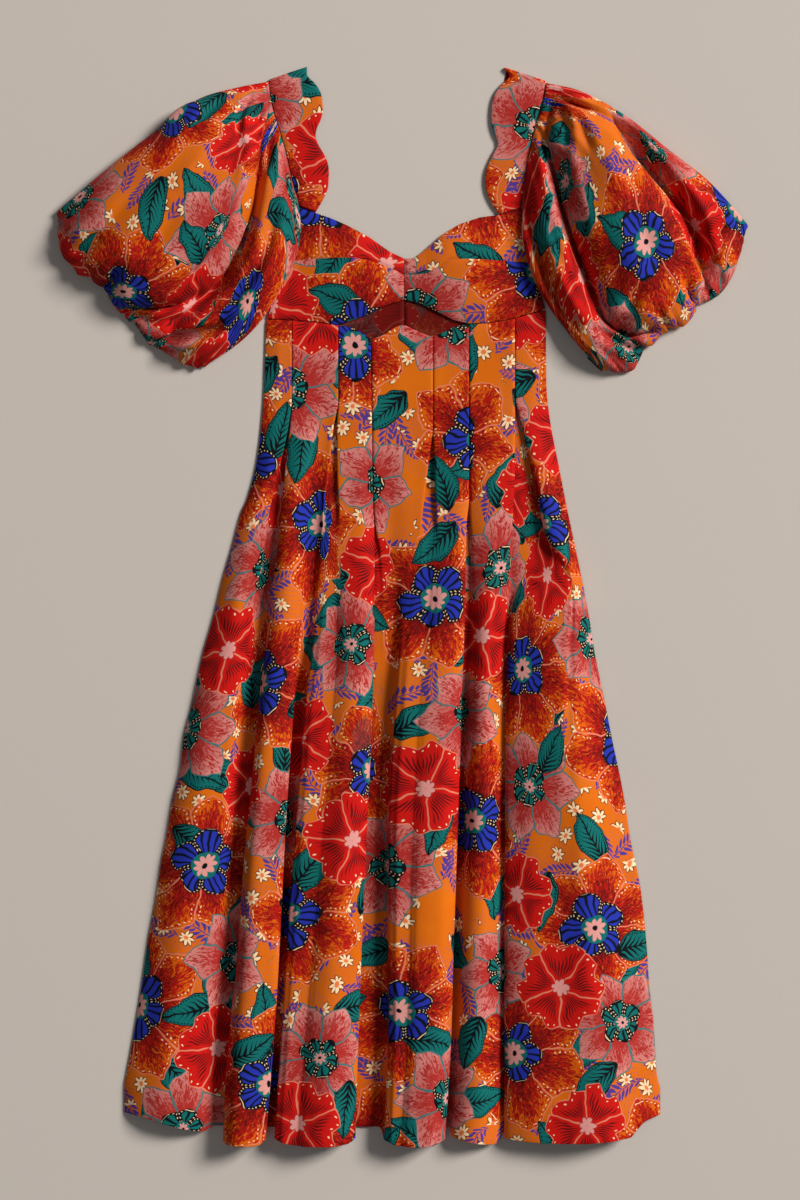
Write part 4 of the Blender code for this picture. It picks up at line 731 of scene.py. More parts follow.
def pleat_side(edge, tuck, top, floor, way):
    """Four points from a pleat's edge to its floor: tucked under where closed, a slope where open."""
    drop = top - floor
    opened = np.clip(-tuck / OPEN_AT, 0, 1)
    upper, lower = (np.minimum(np.maximum(LAYER, least * drop), FOLD_MOST * drop) * (1 - opened)
                    + OPEN_SLOPE * drop * opened for least in FOLD_LEAST)
    open_by = np.maximum(-tuck, 0)
    return [(edge, top), (edge + way * OPEN_SLOPE * open_by, top - upper),
            (edge - way * (np.maximum(tuck, 0) - OPEN_LEAN * open_by), floor + lower),
            (edge - way * tuck, floor)]


def pleat(rows, y):
    """Eight points round an inverted pleat: over its left edge, under it, along the floor and back."""
    left, tuck_left, top_left, floor, top_right, tuck_right, right = (at(rows, y, k) for k in range(1, 8))
    return (pleat_side(left, tuck_left, top_left, floor, 1)
            + pleat_side(right, tuck_right, top_right, floor, -1)[::-1])


def pairs(rows, y):
    """The (x, height) pairs of a wide table at heights y."""
    return [(at(rows, y, k), at(rows, y, k + 1)) for k in range(1, len(rows[0]), 2)]


def crown(start, end, lifts, swell):
    """A panel's points between two edges, lifted above the line between them as the skirt swells."""
    return [(start[0] + (end[0] - start[0]) * share, start[1] + (end[1] - start[1]) * share + lift * swell)
            for share, lift in lifts]


def side_panel(from_x, to_x, heights, swell):
    """A side panel's points: at flat heights near the waist, at loose ones where the skirt swells."""
    return [(from_x + (to_x - from_x) * share, (1 - swell) * flat + swell * loose)
            for share, flat, loose in heights]


def skirt_parts(y):
    """The front skirt's sections at heights y: panels and pleats in turn, from side seam to side seam."""
    swell = at(SWELL, y)
    seam_left, seam_right = at(SIDE_LEFT, y), at(SIDE_RIGHT, y)
    side_left, mid_left, front_left, front_right, mid_right = (pleat(PLEATS[name], y) for name in PLEATS)
    turned = pairs(TURNED_PLEAT, y)
    seam_height = np.full(len(y), SIDE_SEAM)
    parts = [
        [(seam_left, seam_height)] + side_panel(seam_left, side_left[0][0], SIDE_PANEL_LEFT, swell),
        side_left,
        pairs(TUBE_PANEL, y),
        mid_left,
        crown(mid_left[-1], front_left[0], PANEL_LEFT, swell),
        front_left,
        pairs(VALLEY_PANEL, y),
        front_right,
        crown(front_right[-1], mid_right[0], PANEL_MIDDLE, swell),
        mid_right,
        crown(mid_right[-1], turned[0], PANEL_RIGHT, swell),
        turned,
        side_panel(turned[-1][0], seam_right, SIDE_PANEL_RIGHT, swell) + [(seam_right, seam_height)],
    ]
    fuller = 1 + FULLER * swell
    return [[(x, SIDE_SEAM + (height - SIDE_SEAM) * fuller) for x, height in part] for part in parts]


def distance_to(line, x, y):
    """How far points are from a line seen from above, less than 0 on its right, with their share along it
    and its way there."""
    points = through(np.array(line, float)[None], [LINE_SAMPLES] * (len(line) - 1))[0]
    lengths = np.linalg.norm(np.diff(points, axis=0), axis=1)
    passed = np.concatenate([[0], np.cumsum(lengths)])
    away, place = np.full(x.shape, np.inf), np.zeros(x.shape)
    way_x, way_y = np.zeros(x.shape), np.zeros(x.shape)
    for i, length in enumerate(lengths):
        dx, dy = (points[i + 1] - points[i]) / length
        to_x, to_y = x - points[i, 0], y - points[i, 1]
        reached = np.clip(to_x * dx + to_y * dy, 0, length)
        near = np.hypot(to_x - reached * dx, to_y - reached * dy)
        closer = near < np.abs(away)
        away = np.where(closer, np.where(to_y * dx - to_x * dy >= 0, near, -near), away)
        place = np.where(closer, (passed[i] + reached) / passed[-1], place)
        way_x, way_y = np.where(closer, dx, way_x), np.where(closer, dy, way_y)
    return away, place, way_x, way_y


def creased(grid, creases, lowest):
    """The surface with soft troughs pressed into what lies above a height, fading out at their ends."""
    x, y, height = grid[..., 0], grid[..., 1], grid[..., 2]
    free = np.clip((height - lowest) / FREE_OVER, 0, 1)
    for line, width, depth in creases:
        away, place, _, _ = distance_to(line, x, y)
        away = np.abs(away) / width
        trough = np.exp(-away ** TROUGH_STEEP) - TROUGH_SIDE * bell(away, TROUGH_SIDE_AT, 1)
        height = height - depth * trough * faded(place, *CREASE_ENDS) * free
    return np.stack([x, y, height], axis=-1)


def folded(grid, folds, lowest):
    """The surface with sharp folds: along each line the cloth on its left rolls over that on its right."""
    x, y, height = grid[..., 0], grid[..., 1], grid[..., 2]
    free = np.clip((height - lowest) / FREE_OVER, 0, 1)
    for line, width, depth, lap in folds:
        away, place, way_x, way_y = distance_to(line, x, y)
        side = away / width
        fade = faded(place, *FOLD_ENDS) * free
        roll = FOLD_RIDGE * bell(side, *RIDGE_AT) - bell(side, *TROUGH_AT)
        push = lap * bell(side, *LAP_AT) * fade
        height = height + depth * roll * fade
        x, y = x + way_y * push, y - way_x * push
    return np.stack([x, y, height], axis=-1)


def skirt_cloth(fine, parts, counts, v):
    """Where the front skirt's points lie across the flat cloth, down its rows v.

    Each panel keeps its own straight grain, and the pleats between take up what is over.
    """
    steps = np.linalg.norm(np.diff(fine, axis=1), axis=2)
    passed = np.concatenate([np.zeros((len(v), 1)), np.cumsum(steps, axis=1)], axis=1)
    first_point = np.cumsum([0] + [len(part) for part in parts])
    column = np.concatenate([[0], np.cumsum(counts)])
    pleats = [(column[first_point[i]], column[first_point[i + 1] - 1]) for i in range(1, len(parts), 2)]
    panel_starts = [0] + [end for _, end in pleats]
    panel_ends = [start for start, _ in pleats] + [passed.shape[1] - 1]
    panels = list(zip(panel_starts, panel_ends))
    centre = panels[len(panels) // 2]
    passed -= passed[:, sum(centre) // 2, None]
    shifts = []
    for start, end in panels:
        mid = (start + end) // 2
        shifts.append(passed[-1, mid] * (FLAT_TOP + (1 - FLAT_TOP) * v[:, None]) - passed[:, mid:mid + 1])
    across = passed.copy()
    for (start, end), shift in zip(panels, shifts):
        across[:, start:end + 1] += shift
    for (start, end), before, after in zip(pleats, shifts, shifts[1:]):
        inside = passed[:, start + 1:end]
        share = (inside - passed[:, start, None]) / (passed[:, end] - passed[:, start])[:, None]
        across[:, start + 1:end] += before * (1 - share) + after * share
    return across


def skirt_front():
    """The front skirt's surface and its place on the flat cloth."""
    v = shares(SKIRT_ROWS, SKIRT_TOP_Y - SKIRT_LOW_Y)
    parts = skirt_parts(SKIRT_TOP_Y + (SKIRT_LOW_Y - SKIRT_TOP_Y) * v)
    section = np.array([point for part in parts for point in part]).transpose(2, 0, 1)
    chords = np.linalg.norm(np.diff(section, axis=1), axis=2).max(axis=0)
    counts = np.clip(np.ceil(chords / SPAN_STEP), *SPAN_COUNTS).astype(int)
    fine = through(section, counts)

    starts = np.interp(fine[0, :, 0], *zip(*TOP_EDGE)) - SEAM_GAP
    last_x, last_height = fine[-1].T
    high, low = np.interp(last_x, *zip(*HEM_HIGH)), np.interp(last_x, *zip(*HEM_LOW))
    ends = low + (high - low) * np.clip((last_height - LYING) / (STANDING - LYING), 0, 1)
    y = starts + (ends - starts) * v[:, None]
    height = fine[..., 1] - rolled(starts - y) - HEM_ROLL * rolled(y - ends)
    grid = creased(np.stack([fine[..., 0], y, height], axis=-1), SKIRT_CREASES, LYING)
    grid[..., 2] = np.maximum(grid[..., 2], OVER_BACK)
    return grid, np.stack([skirt_cloth(fine, parts, counts, v), y], axis=-1)


def skirt_back():
    """The back skirt, flat on the surface, just inside the front's side seams."""
    xs = np.linspace(BACK_WAIST[0][0], BACK_WAIST[-1][0], BACK_COLUMNS)
    tops = np.interp(xs, *zip(*BACK_WAIST)) - SEAM_GAP
    v = shares(BACK_ROWS, -BACK_HEM_Y)[:, None]
    u = (xs - xs[0]) / (xs[-1] - xs[0])
    y = tops + (BACK_HEM_Y - tops) * v
    left = at(SIDE_LEFT, y.ravel()).reshape(y.shape) + BACK_INSET
    right = at(SIDE_RIGHT, y.ravel()).reshape(y.shape) - BACK_INSET
    x = xs + (left + (right - left) * u - xs) * np.minimum(v / BACK_INSET_FROM, 1)
    low = np.interp(x, *zip(*HEM_LOW)) + BACK_HEM_INSET
    y = tops + (low - tops) * v
    return np.stack([x, y, np.full(x.shape, BACK_HEIGHT)], axis=-1), np.stack([x, y], axis=-1)


def cup(top, bottom, full, full_at_foot):
    """A cup panel between two edges, full towards the seam that crosses the cup."""
    u, v = shares(CUP_COLUMNS, CUP_LENGTH), shares(CUP_ROWS, CUP_WIDTH)
    upper, lower = along(top, u), along(bottom, u)
    plan = upper[None] + (lower - upper)[None] * v[:, None, None]
    tall = np.linalg.norm(lower - upper, axis=1)[None]
    reach = np.sin(0.5 * np.pi * (v if full_at_foot else 1 - v))[:, None]
    spread = np.sin(np.pi * np.clip((u - full[0]) / (full[1] - full[0]), 0, 1))[None]
    height = BODICE_HEIGHT + CUP_FULLNESS * spread * reach
    down, across = v[:, None], u[None]
    for distance in (down * tall, (1 - down) * tall, across * CUP_LENGTH, (1 - across) * CUP_LENGTH):
        height = height - rolled(distance)
    return np.dstack([plan, height]), plan


def bodice_back(way):
    """Half of the bodice back, flat on the surface: way is -1 at the left, 1 at the right."""
    foot = BACK_WAIST[0][0] if way < 0 else BACK_WAIST[-1][0]
    xs = np.linspace(min(foot, BACK_CENTRE), max(foot, BACK_CENTRE), BODICE_BACK_COLUMNS)
    lows = np.interp(xs, *zip(*BACK_WAIST))
    v = np.linspace(0, 1, BODICE_BACK_ROWS)[:, None]
    u = (xs - BACK_CENTRE) / (foot - BACK_CENTRE)
    top_x = BACK_CENTRE + (BACK_SIDE_TOP[way] - BACK_CENTRE) * u
    x = top_x + (xs - top_x) * v + way * SEAM_GAP * (1 - u)
    y = BACK_TOP + (lows + SEAM_GAP - BACK_TOP) * v
    height = BACK_HEIGHT + SEAM_RIDGE * bell(x, BACK_CENTRE, SEAM_RIDGE_WIDTH)
    return np.stack([x, y, height], axis=-1), np.stack([x, y], axis=-1)


def strap(rows, back):
    """A strap: its scalloped front, the turn over the shoulder, and the plain part behind it."""
    front = through(np.array(rows, float)[None, ::-1], [STRAP_SAMPLES] * (len(rows) - 1))[0]
    behind = through(np.array(back, float)[None], [STRAP_SAMPLES] * (len(back) - 1))[0]
    u = shares(STRAP_COLUMNS, STRAP_WIDTH)
    width = np.linalg.norm(front[:, :2] - front[:, 2:], axis=1)[:, None]
    lines = [front[:, None, :2] + (front[:, None, 2:] - front[:, None, :2]) * u[None, :, None]]
    swell = STRAP_SWELL * np.sin(np.pi * u)[None] - rolled(width * u) - rolled(width * (1 - u))
    heights = [STRAP_HEIGHT + swell]
    rise = STRAP_HEIGHT - BACK_HEIGHT
    for turn in np.radians(SHOULDER_TURN):
        lines.append(lines[0][-1:] + np.array([0, 0.5 * rise * math.sin(turn)]))
        dip = 0.5 * rise * (1 - math.cos(turn))
        heights.append(np.maximum(heights[0][-1:] - dip, BACK_HEIGHT))
    lines.append(behind[:, None, :2] + (behind[:, None, 2:] - behind[:, None, :2]) * u[None, :, None])
    heights.append(np.full((len(behind), len(u)), BACK_HEIGHT))
    grid = np.dstack([np.concatenate(lines), np.concatenate(heights)])
    middle = grid[:, len(u) // 2]
    down = np.concatenate([[0], np.cumsum(np.linalg.norm(np.diff(middle, axis=0), axis=1))])
    across = np.linalg.norm(grid[:, :, :2] - grid[:, :1, :2], axis=2)
    return grid, np.stack([across, np.repeat(down[:, None], len(u), axis=1)], axis=-1)


def gathers(grid, count, uneven, depth, reach, from_end):
    """Gathered cloth at one end of a sleeve: folds of uneven width and depth, fading into the puff."""
    rings, width = grid.shape[:2]
    lengths = np.concatenate([[0], np.cumsum(np.linalg.norm(np.diff(grid.mean(axis=1), axis=0), axis=1))])
    away = lengths[-1] - lengths if from_end else lengths
    turn = 2 * np.pi * np.arange(width) / width
    bunches, bunches_from = GATHER_BUNCHES
    taller, taller_from = GATHER_TALLER
    mean, varies = GATHER_HEIGHT
    small, more, small_from = GATHER_SMALL
    phase = count * turn + 2 * np.pi * uneven * np.sin(bunches * turn + bunches_from)
    tall = mean + varies * np.sin(taller * turn + taller_from)
    wave = np.sin(phase) * tall + small * np.sin(more * phase + small_from)
    ridge_way = np.cross(np.gradient(grid, axis=0), np.gradient(grid, axis=1))
    ridge_way /= np.maximum(np.linalg.norm(ridge_way, axis=2, keepdims=True), LEAST_LENGTH)
    if ridge_way[rings // 2, width // 4, 2] < 0:
        ridge_way = -ridge_way
    free = np.clip((grid[..., 2] - CUFF_LOW) / FREE_OVER, 0, 1)
    lift = depth * wave[None] * np.exp(-away / reach)[:, None] * free
    return grid + ridge_way * lift[..., None]


def turned_in(end, inward):
    """The rings of a sleeve's gathered end, turned into the sleeve."""
    floor = end[:, 2] < FLOOR_BELOW
    rings = []
    for depth, share in CUFF_TURN:
        ring = end.copy()
        ring[:, :2] += np.array(inward) * depth
        ring[:, 2] = np.where(floor, end[:, 2] + FLOOR_TURN * share,
                              end[:, 2] - (end[:, 2] - CUFF_LOW) * CUFF_CLOSE * share)
        rings.append(ring)
    return rings


def sleeve(lines, inward, creases, folds):
    """A puff sleeve as rings from the armhole to its gathered end, turned in there."""
    table = np.array(list(lines.values()), float)
    rows = through(table, [SLEEVE_STEPS] * (table.shape[1] - 1)).transpose(1, 0, 2)
    rows = through(rows, [SLEEVE_SAMPLES] * len(table), closed=True)
    rows = folded(creased(rows, creases, SLEEVE_LYING), folds, SLEEVE_LYING)
    rows = gathers(rows, **ARMHOLE_GATHERS, from_end=False)
    rows = gathers(rows, **CUFF_GATHERS, from_end=True)
    steps = np.linalg.norm(np.diff(rows.mean(axis=1), axis=0), axis=1)
    from_cuff = np.concatenate([np.cumsum(steps[::-1])[::-1], [0]])
    round_off = np.sqrt(1 - (1 - np.clip(from_cuff / CUFF_ROUND, 0, 1)) ** 2)
    rows[..., 2] *= (CUFF_HEIGHT + (1 - CUFF_HEIGHT) * round_off)[:, None]
    grid = np.concatenate([rows, turned_in(rows[-1], inward)])
    grid[..., 2] = np.maximum(grid[..., 2], LEAST_HEIGHT)
    return grid, sleeve_cloth(grid, rows)


def sleeve_cloth(grid, rows):
    """Where a sleeve's points lie on the flat cloth, which is as wide as the sleeve's widest ring."""
    girths = np.linalg.norm(np.roll(rows, -1, axis=1) - rows, axis=2)
    widest = girths[np.argmax(girths.sum(axis=1))]
    across = np.concatenate([[0], np.cumsum(widest)])
    steps = np.cumsum(np.linalg.norm(np.diff(grid, axis=0), axis=2), axis=0)
    down = np.concatenate([np.zeros((1, grid.shape[1])), steps])
    down = np.concatenate([down, down[:, :1]], axis=1)
    return np.stack([np.repeat(across[None], len(grid), axis=0), down], axis=-1)


class Field:
    """One output of a shader node, with arithmetic that adds the nodes it needs."""

    def __init__(self, tree, socket):
        self.tree, self.socket = tree, socket

    def calc(self, operation, *values):
        """The output of a new Math node."""
        made = self.tree.nodes.new("ShaderNodeMath")
        made.operation = operation
        for slot, value in zip(made.inputs, values):
            plug(self.tree, value, slot)
        return Field(self.tree, made.outputs[0])

    def math(self, operation, *others):
        """A Math node with this field first."""
        return self.calc(operation, self, *others)

    def __add__(self, other):
        return self.math("ADD", other)

    def __sub__(self, other):
        return self.math("SUBTRACT", other)

    def __rsub__(self, other):
        return self.calc("SUBTRACT", other, self)

    def __mul__(self, other):
        return self.math("MULTIPLY", other)

    __radd__ = __add__
    __rmul__ = __mul__

    def __truediv__(self, other):
        return self.math("DIVIDE", other)

    def __rtruediv__(self, other):
        return self.calc("DIVIDE", other, self)

    def __abs__(self):
        return self.math("ABSOLUTE")

    def within(self, least, most):
        """The value, kept between two others."""
        return self.math("MAXIMUM", least).math("MINIMUM", most)

    def above(self, level, soft=SOFT):
        """1 where the value is above a level and 0 below it, with a soft step this wide on each side."""
        made = self.tree.nodes.new("ShaderNodeMapRange")
        plug(self.tree, self, made.inputs["Value"])
        plug(self.tree, level - soft, made.inputs["From Min"])
        plug(self.tree, level + soft, made.inputs["From Max"])
        return Field(self.tree, made.outputs["Result"])


def plug(tree, value, slot):
    """Links a field to a socket, or sets a plain value on it."""
    if isinstance(value, Field):
        tree.links.new(value.socket, slot)
    else:
        slot.default_value = value


def node(tree, kind, outputs, inputs, **settings):
    """Adds a node with these settings and inputs, and returns the named outputs as fields."""
    made = tree.nodes.new(kind)
    for name, value in settings.items():
        setattr(made, name, value)
    for name, value in inputs.items():
        plug(tree, value, made.inputs[name])
    found = [Field(tree, made.outputs[name]) for name in outputs]
    return found if len(found) > 1 else found[0]


def vector_math(tree, operation, first, second):
    """The vector that a Vector Math node makes of two others."""
    return node(tree, "ShaderNodeVectorMath", ["Vector"], {0: first, 1: second}, operation=operation)


def length_of(tree, place):
    """How far a place is from the middle of its motif."""
    return node(tree, "ShaderNodeVectorMath", ["Value"], {0: place}, operation="LENGTH")


def mixed(tree, factor, under, over):
    """One colour laid over another by a mask."""
    made = tree.nodes.new("ShaderNodeMix")
    made.data_type = "RGBA"
    plug(tree, factor, made.inputs[0])
    # its colour inputs and output come after those for numbers and vectors
    plug(tree, under, made.inputs[6])
    plug(tree, over, made.inputs[7])
    return Field(tree, made.outputs[2])


def ink(red, green, blue):
    """A dye's colour, given as it shows on a screen from 0 to 255."""
    shown = np.array([red, green, blue]) / 255
    light = np.where(shown > 0.04045, ((shown + 0.055) / 1.055) ** 2.4, shown / 12.92)
    return (*light.tolist(), 1.0)


GROUND = ink(220, 110, 12)
GROUND_DARK = ink(206, 96, 10)
PINK = ink(220, 150, 142)
PINK_DEEP = ink(180, 70, 62)
CORAL = ink(168, 42, 38)
PINK_OUTLINE = ink(62, 112, 112)
AMBER = ink(214, 94, 6)
FLAME = ink(174, 22, 12)
FLAME_DEEP = ink(104, 10, 8)
BLUSH = ink(222, 128, 100)
CREAM = ink(248, 212, 166)
RED = ink(198, 20, 14)
RED_STROKE = ink(104, 12, 14)
TEAL = ink(12, 104, 100)
NIGHT = ink(8, 12, 18)
VIOLET = ink(78, 56, 136)
COBALT = ink(36, 50, 164)
# painted shade: deep maroon laid over the wrong side, standing in for the shade inside the dress
WRONG_SIDE_PAINTED_SHADE = ink(84, 8, 5)
DAISY_LINE = ink(92, 36, 20)
DAISY_HEART = ink(226, 120, 70)


def new_group(name, inputs, outputs):
    """A shader node group with these named sockets: its tree, its inputs as fields, its output node."""
    tree = bpy.data.node_groups.new(name, "ShaderNodeTree")
    kinds = {"vector": "NodeSocketVector", "value": "NodeSocketFloat", "colour": "NodeSocketColor"}
    for label, kind in inputs:
        tree.interface.new_socket(label, in_out="INPUT", socket_type=kinds[kind])
    for label, kind in outputs:
        tree.interface.new_socket(label, in_out="OUTPUT", socket_type=kinds[kind])
    entry = tree.nodes.new("NodeGroupInput")
    fields = [Field(tree, entry.outputs[label]) for label, _ in inputs]
    return tree, fields, tree.nodes.new("NodeGroupOutput")


def use(tree, group, inputs):
    """Places a group in a tree with its own values, and returns its outputs as fields."""
    made = tree.nodes.new("ShaderNodeGroup")
    made.node_tree = group
    for name, value in inputs.items():
        plug(tree, value, made.inputs[name])
    return [Field(tree, out) for out in made.outputs]


def values(*labels):
    """Sockets for plain values with these labels."""
    return [(label, "value") for label in labels]


def scatter_group():
    """Scatters a motif over the cloth: each point's place from its motif's middle, turned at random."""
    tree, (cloth, spacing, shift, spread), out = new_group(
        "scatter", [("Cloth", "vector"), ("Spacing", "value"), ("Shift", "vector"), ("Spread", "value")],
        [("Place", "vector")] + values("Pick A", "Pick B"))
    scaled = vector_math(tree, "DIVIDE", cloth, spacing)
    moved = vector_math(tree, "ADD", scaled, shift)
    middle, colour = node(tree, "ShaderNodeTexVoronoi", ["Position", "Color"],
                          {"Vector": moved, "Scale": 1.0, "Randomness": spread},
                          voronoi_dimensions="2D", feature="F1")
    away = vector_math(tree, "MULTIPLY", vector_math(tree, "SUBTRACT", moved, middle), spacing)
    pick_a, pick_b, pick_c = node(tree, "ShaderNodeSeparateColor", ["Red", "Green", "Blue"],
                                  {"Color": colour})
    place = node(tree, "ShaderNodeVectorRotate", ["Vector"],
                 {"Vector": away, "Angle": pick_c * (2 * math.pi)}, rotation_type="Z_AXIS")
    for label, value in (("Place", place), ("Pick A", pick_a), ("Pick B", pick_b)):
        plug(tree, value, out.inputs[label])
    return tree


def petals_group():
    """A ring of petals: how far inside a petal a point is, and where along and across it."""
    tree, (place, count, fullness, belly, tip, notch, uneven, reach, pick), out = new_group(
        "petals", [("Place", "vector")] + values(*RING_INPUTS, "Reach", "Pick"),
        values("Inside", "Along", "Across", "Share", "Petal"))
    x, y = node(tree, "ShaderNodeSeparateXYZ", ["X", "Y"], {"Vector": place})
    radius = length_of(tree, place)
    turn = y.math("ARCTAN2", x) * (0.5 / math.pi) + 0.5
    sector = turn * count
    number = sector.math("FLOOR")
    petal, petal_colour = node(tree, "ShaderNodeTexWhiteNoise", ["Value", "Color"],
                               {"W": number + pick * PETALS_APART}, noise_dimensions="1D")
    bend = node(tree, "ShaderNodeSeparateColor", ["Green"], {"Color": petal_colour}) - 0.5
    angle = (sector - number - 0.5) / count * (2 * math.pi)
    along = radius * angle.math("COSINE")
    length = reach * (1.0 - uneven * petal)
    across = radius * angle.math("SINE") + bend * uneven * PETAL_BEND * along * along / length
    beside = abs(across)
    dent = (1.0 - beside / (length * NOTCH_WIDTH)).math("MAXIMUM", 0.0) * notch + 1.0
    share = (along / length * dent).within(*SHARES)
    wide = length * fullness * (share.math("POWER", belly) * math.pi).math("SINE").math("POWER", tip)
    to_side = (wide - beside) * SIDE_SLOPE
    to_tip = (1.0 - along / length * dent) * length * TIP_SLOPE
    to_next = radius * (math.pi / count - abs(angle)).math("SINE") + PETAL_OVERLAP
    inside = to_side.math("MINIMUM", to_tip).math("MINIMUM", to_next)
    for label, value in (("Inside", inside), ("Along", along), ("Across", across), ("Share", share),
                         ("Petal", petal)):
        plug(tree, value, out.inputs[label])
    return tree


def feather_group():
    """Feathery brush marks that spread out from the foot of a petal: 1 where the dye lies."""
    tree, (along, across, share, reach, pick, amount), out = new_group(
        "feather", values("Along", "Across", "Share", "Reach", "Petal", "Amount"), values("Mask"))
    side = abs(across)
    swept = node(tree, "ShaderNodeCombineXYZ", ["Vector"],
                 {"X": (along - side * MARKS_SWEEP) * MARKS_ALONG, "Y": across * MARKS_ACROSS,
                  "Z": pick * MARKS_APART})
    marks = node(tree, "ShaderNodeTexNoise", ["Fac"], {"Vector": swept, **MARKS_NOISE},
                 noise_dimensions="3D")
    heavy = amount - share - side / (reach * MARKS_WIDTH)
    mask = (heavy + (marks - 0.5) * MARKS_RAGGED).above(0.0, MARKS_SOFT)
    plug(tree, mask, out.inputs["Mask"])
    return tree


def dots_group():
    """A row of dots that runs inside an edge."""
    tree, (inside, along, depth, pitch, size), out = new_group(
        "edge_dots", values("Inside", "Along", "Depth", "Pitch", "Size"), values("Mask"))
    step = (along / pitch).math("FRACT") - 0.5
    away_along = step * pitch
    away_in = inside - depth
    away = (away_along * away_along + away_in * away_in).math("SQRT")
    plug(tree, (size - away).above(0.0, FINE), out.inputs["Mask"])
    return tree


class FloralPrint:
    """The floral print, one motif laid over another: flowers, leaves, sprigs and daisies on orange."""

    def __init__(self, tree, cloth, groups):
        self.tree, self.cloth, self.groups = tree, cloth, groups
        self.colour = mixed(tree, self.noise(BLOTCHES, 2.0).above(0.5), GROUND, GROUND_DARK)

    def noise(self, scale, detail):
        """Soft noise over the cloth, scale to the millimetre."""
        return node(self.tree, "ShaderNodeTexNoise", ["Fac"],
                    {"Vector": self.cloth, "Scale": scale, "Detail": detail}, noise_dimensions="2D")

    def lay(self, mask, over):
        """Prints one dye over what is there."""
        self.colour = mixed(self.tree, mask, self.colour, over)

    def scattered(self, repeat, shift, kind):
        """Each point's place in its nearest motif, with two random numbers of that motif."""
        return use(self.tree, self.groups["scatter"],
                   {"Cloth": self.cloth, "Spacing": repeat, "Shift": (*shift, 0.0),
                    "Spread": SPREAD[kind]})

    def bent(self, place, other, bend):
        """The x and y of a place in a motif that bends to one side or the other."""
        x, y = node(self.tree, "ShaderNodeSeparateXYZ", ["X", "Y"], {"Vector": place})
        return x, y + x * x * (other - 0.5) * bend

    def ring(self, name, place, pick, reach):
        """A ring of petals round a motif's middle."""
        inputs = {"Place": place, "Pick": pick, "Reach": reach, **dict(zip(RING_INPUTS, RINGS[name]))}
        return use(self.tree, self.groups["petals"], inputs)

    def feather(self, name, petal, reach):
        """Feathery marks over a petal, from its foot outwards."""
        _, along, across, share, number = petal
        amount, finer = FEATHERS[name]
        return use(self.tree, self.groups["feather"],
                   {"Along": along * finer, "Across": across * finer, "Share": share,
                    "Reach": reach * finer, "Petal": number + finer * FINER_APART, "Amount": amount})[0]

    def dots(self, name, inside, along):
        """A row of dots inside an edge."""
        depth, pitch, size = DOTS[name]
        return use(self.tree, self.groups["dots"],
                   {"Inside": inside, "Along": along, "Depth": depth, "Pitch": pitch, "Size": size})[0]

    def sprigs(self, repeat, shift, left_out):
        """Violet sprigs: a bent stem with small slanting leaves down both sides."""
        place, pick, other = self.scattered(repeat, shift, "sprig")
        x, y = self.bent(place, other, SPRIG_BEND)
        side = abs(y)
        taper = 1.0 - abs(x / SPRIG_LENGTH).math("POWER", SPRIG_TAPER)
        turns = (x - side * SPRIG_SLANT) / SPRIG_PITCH + y.math("SIGN") * SPRIG_STAGGER
        step = turns.math("FRACT") - 0.5
        leaf_length = SPRIG_LEAF * taper.math("MAXIMUM", SPRIG_LEAST)
        leaf_share = ((side - SPRIG_STEM) / leaf_length).within(0.0, 1.0)
        wide = (leaf_share * math.pi).math("SINE") * SPRIG_LEAF_WIDTH
        leaves = wide - abs(step) * SPRIG_PITCH * SPRIG_ACROSS
        stem = (SPRIG_STEM - side).math("MINIMUM", SPRIG_LENGTH - abs(x))
        mask = leaves.math("MINIMUM", taper * SPRIG_THIN).math("MAXIMUM", stem).above(0.0, FINE)
        self.lay(mask * pick.above(left_out, SHARP), VIOLET)

    def daisies(self, repeat, shift, bunch, left_out):
        """Small cream daisies in loose clusters."""
        place, pick, _ = self.scattered(repeat, shift, "flower")
        inside = self.ring("daisy", place, pick, DAISY_REACH)[0]
        shown = bunch * pick.above(left_out, SHARP)
        near = length_of(self.tree, place)
        self.lay(inside.above(-0.55, FINER) * shown, DAISY_LINE)
        self.lay(inside.above(0.25, FINER) * shown, CREAM)
        self.lay((DAISY_MIDDLE - near).above(0.0) * shown, DAISY_HEART)

    def leaves(self, repeat, shift, left_out, length, half):
        """Teal leaves with near-black veins, rim and a row of dots inside it."""
        place, pick, other = self.scattered(repeat, shift, "leaf")
        x, y = self.bent(place, other, LEAF_BEND)
        side = abs(y)
        share = (x / length + 0.5).within(*SHARES)
        wide = (share.math("POWER", LEAF_BELLY) * math.pi).math("SINE").math("POWER", LEAF_TIP) * half
        inside = (wide - side).math("MINIMUM", (length * 0.5 - abs(x)) * LEAF_END_SLOPE)
        shown = inside.above(0.0, FINE) * pick.above(left_out, SHARP)
        slant = ((x - side * VEIN_SLANT) / VEIN_PITCH).math("FRACT") - 0.5
        thick = VEIN_WIDTH - side / half * VEIN_THINS_OUT + (VEIN_EVEN - share) * VEIN_THINS_ALONG
        veins = (thick - abs(slant) * VEIN_PITCH).math("MAXIMUM", MIDRIB - side).above(0.0)
        rim = 1.0 - inside.above(EDGES["leaf"], FINE)
        row = self.dots("leaf", inside, x)
        self.lay(shown, TEAL)
        self.lay(shown * veins.math("MAXIMUM", rim).math("MAXIMUM", row), NIGHT)

    def wings(self, name, place, pick, reach, dye):
        """The dark-veined petals in a flower's middle, with a near-black rim that carries cream dots."""
        inside, along, across, share, _ = self.ring(name, place, pick, reach)
        widens, narrow = STREAK_SPREAD
        streak = abs((across / (share * widens + narrow)).math("SINE")).above(0.5, FINER)
        rim = 1.0 - inside.above(EDGES["wings"], FINE)
        self.lay(inside.above(0.0), NIGHT)
        self.lay(inside.above(0.0) * streak * (1.0 - rim), dye)
        self.lay(self.dots("wings", inside, along), CREAM)

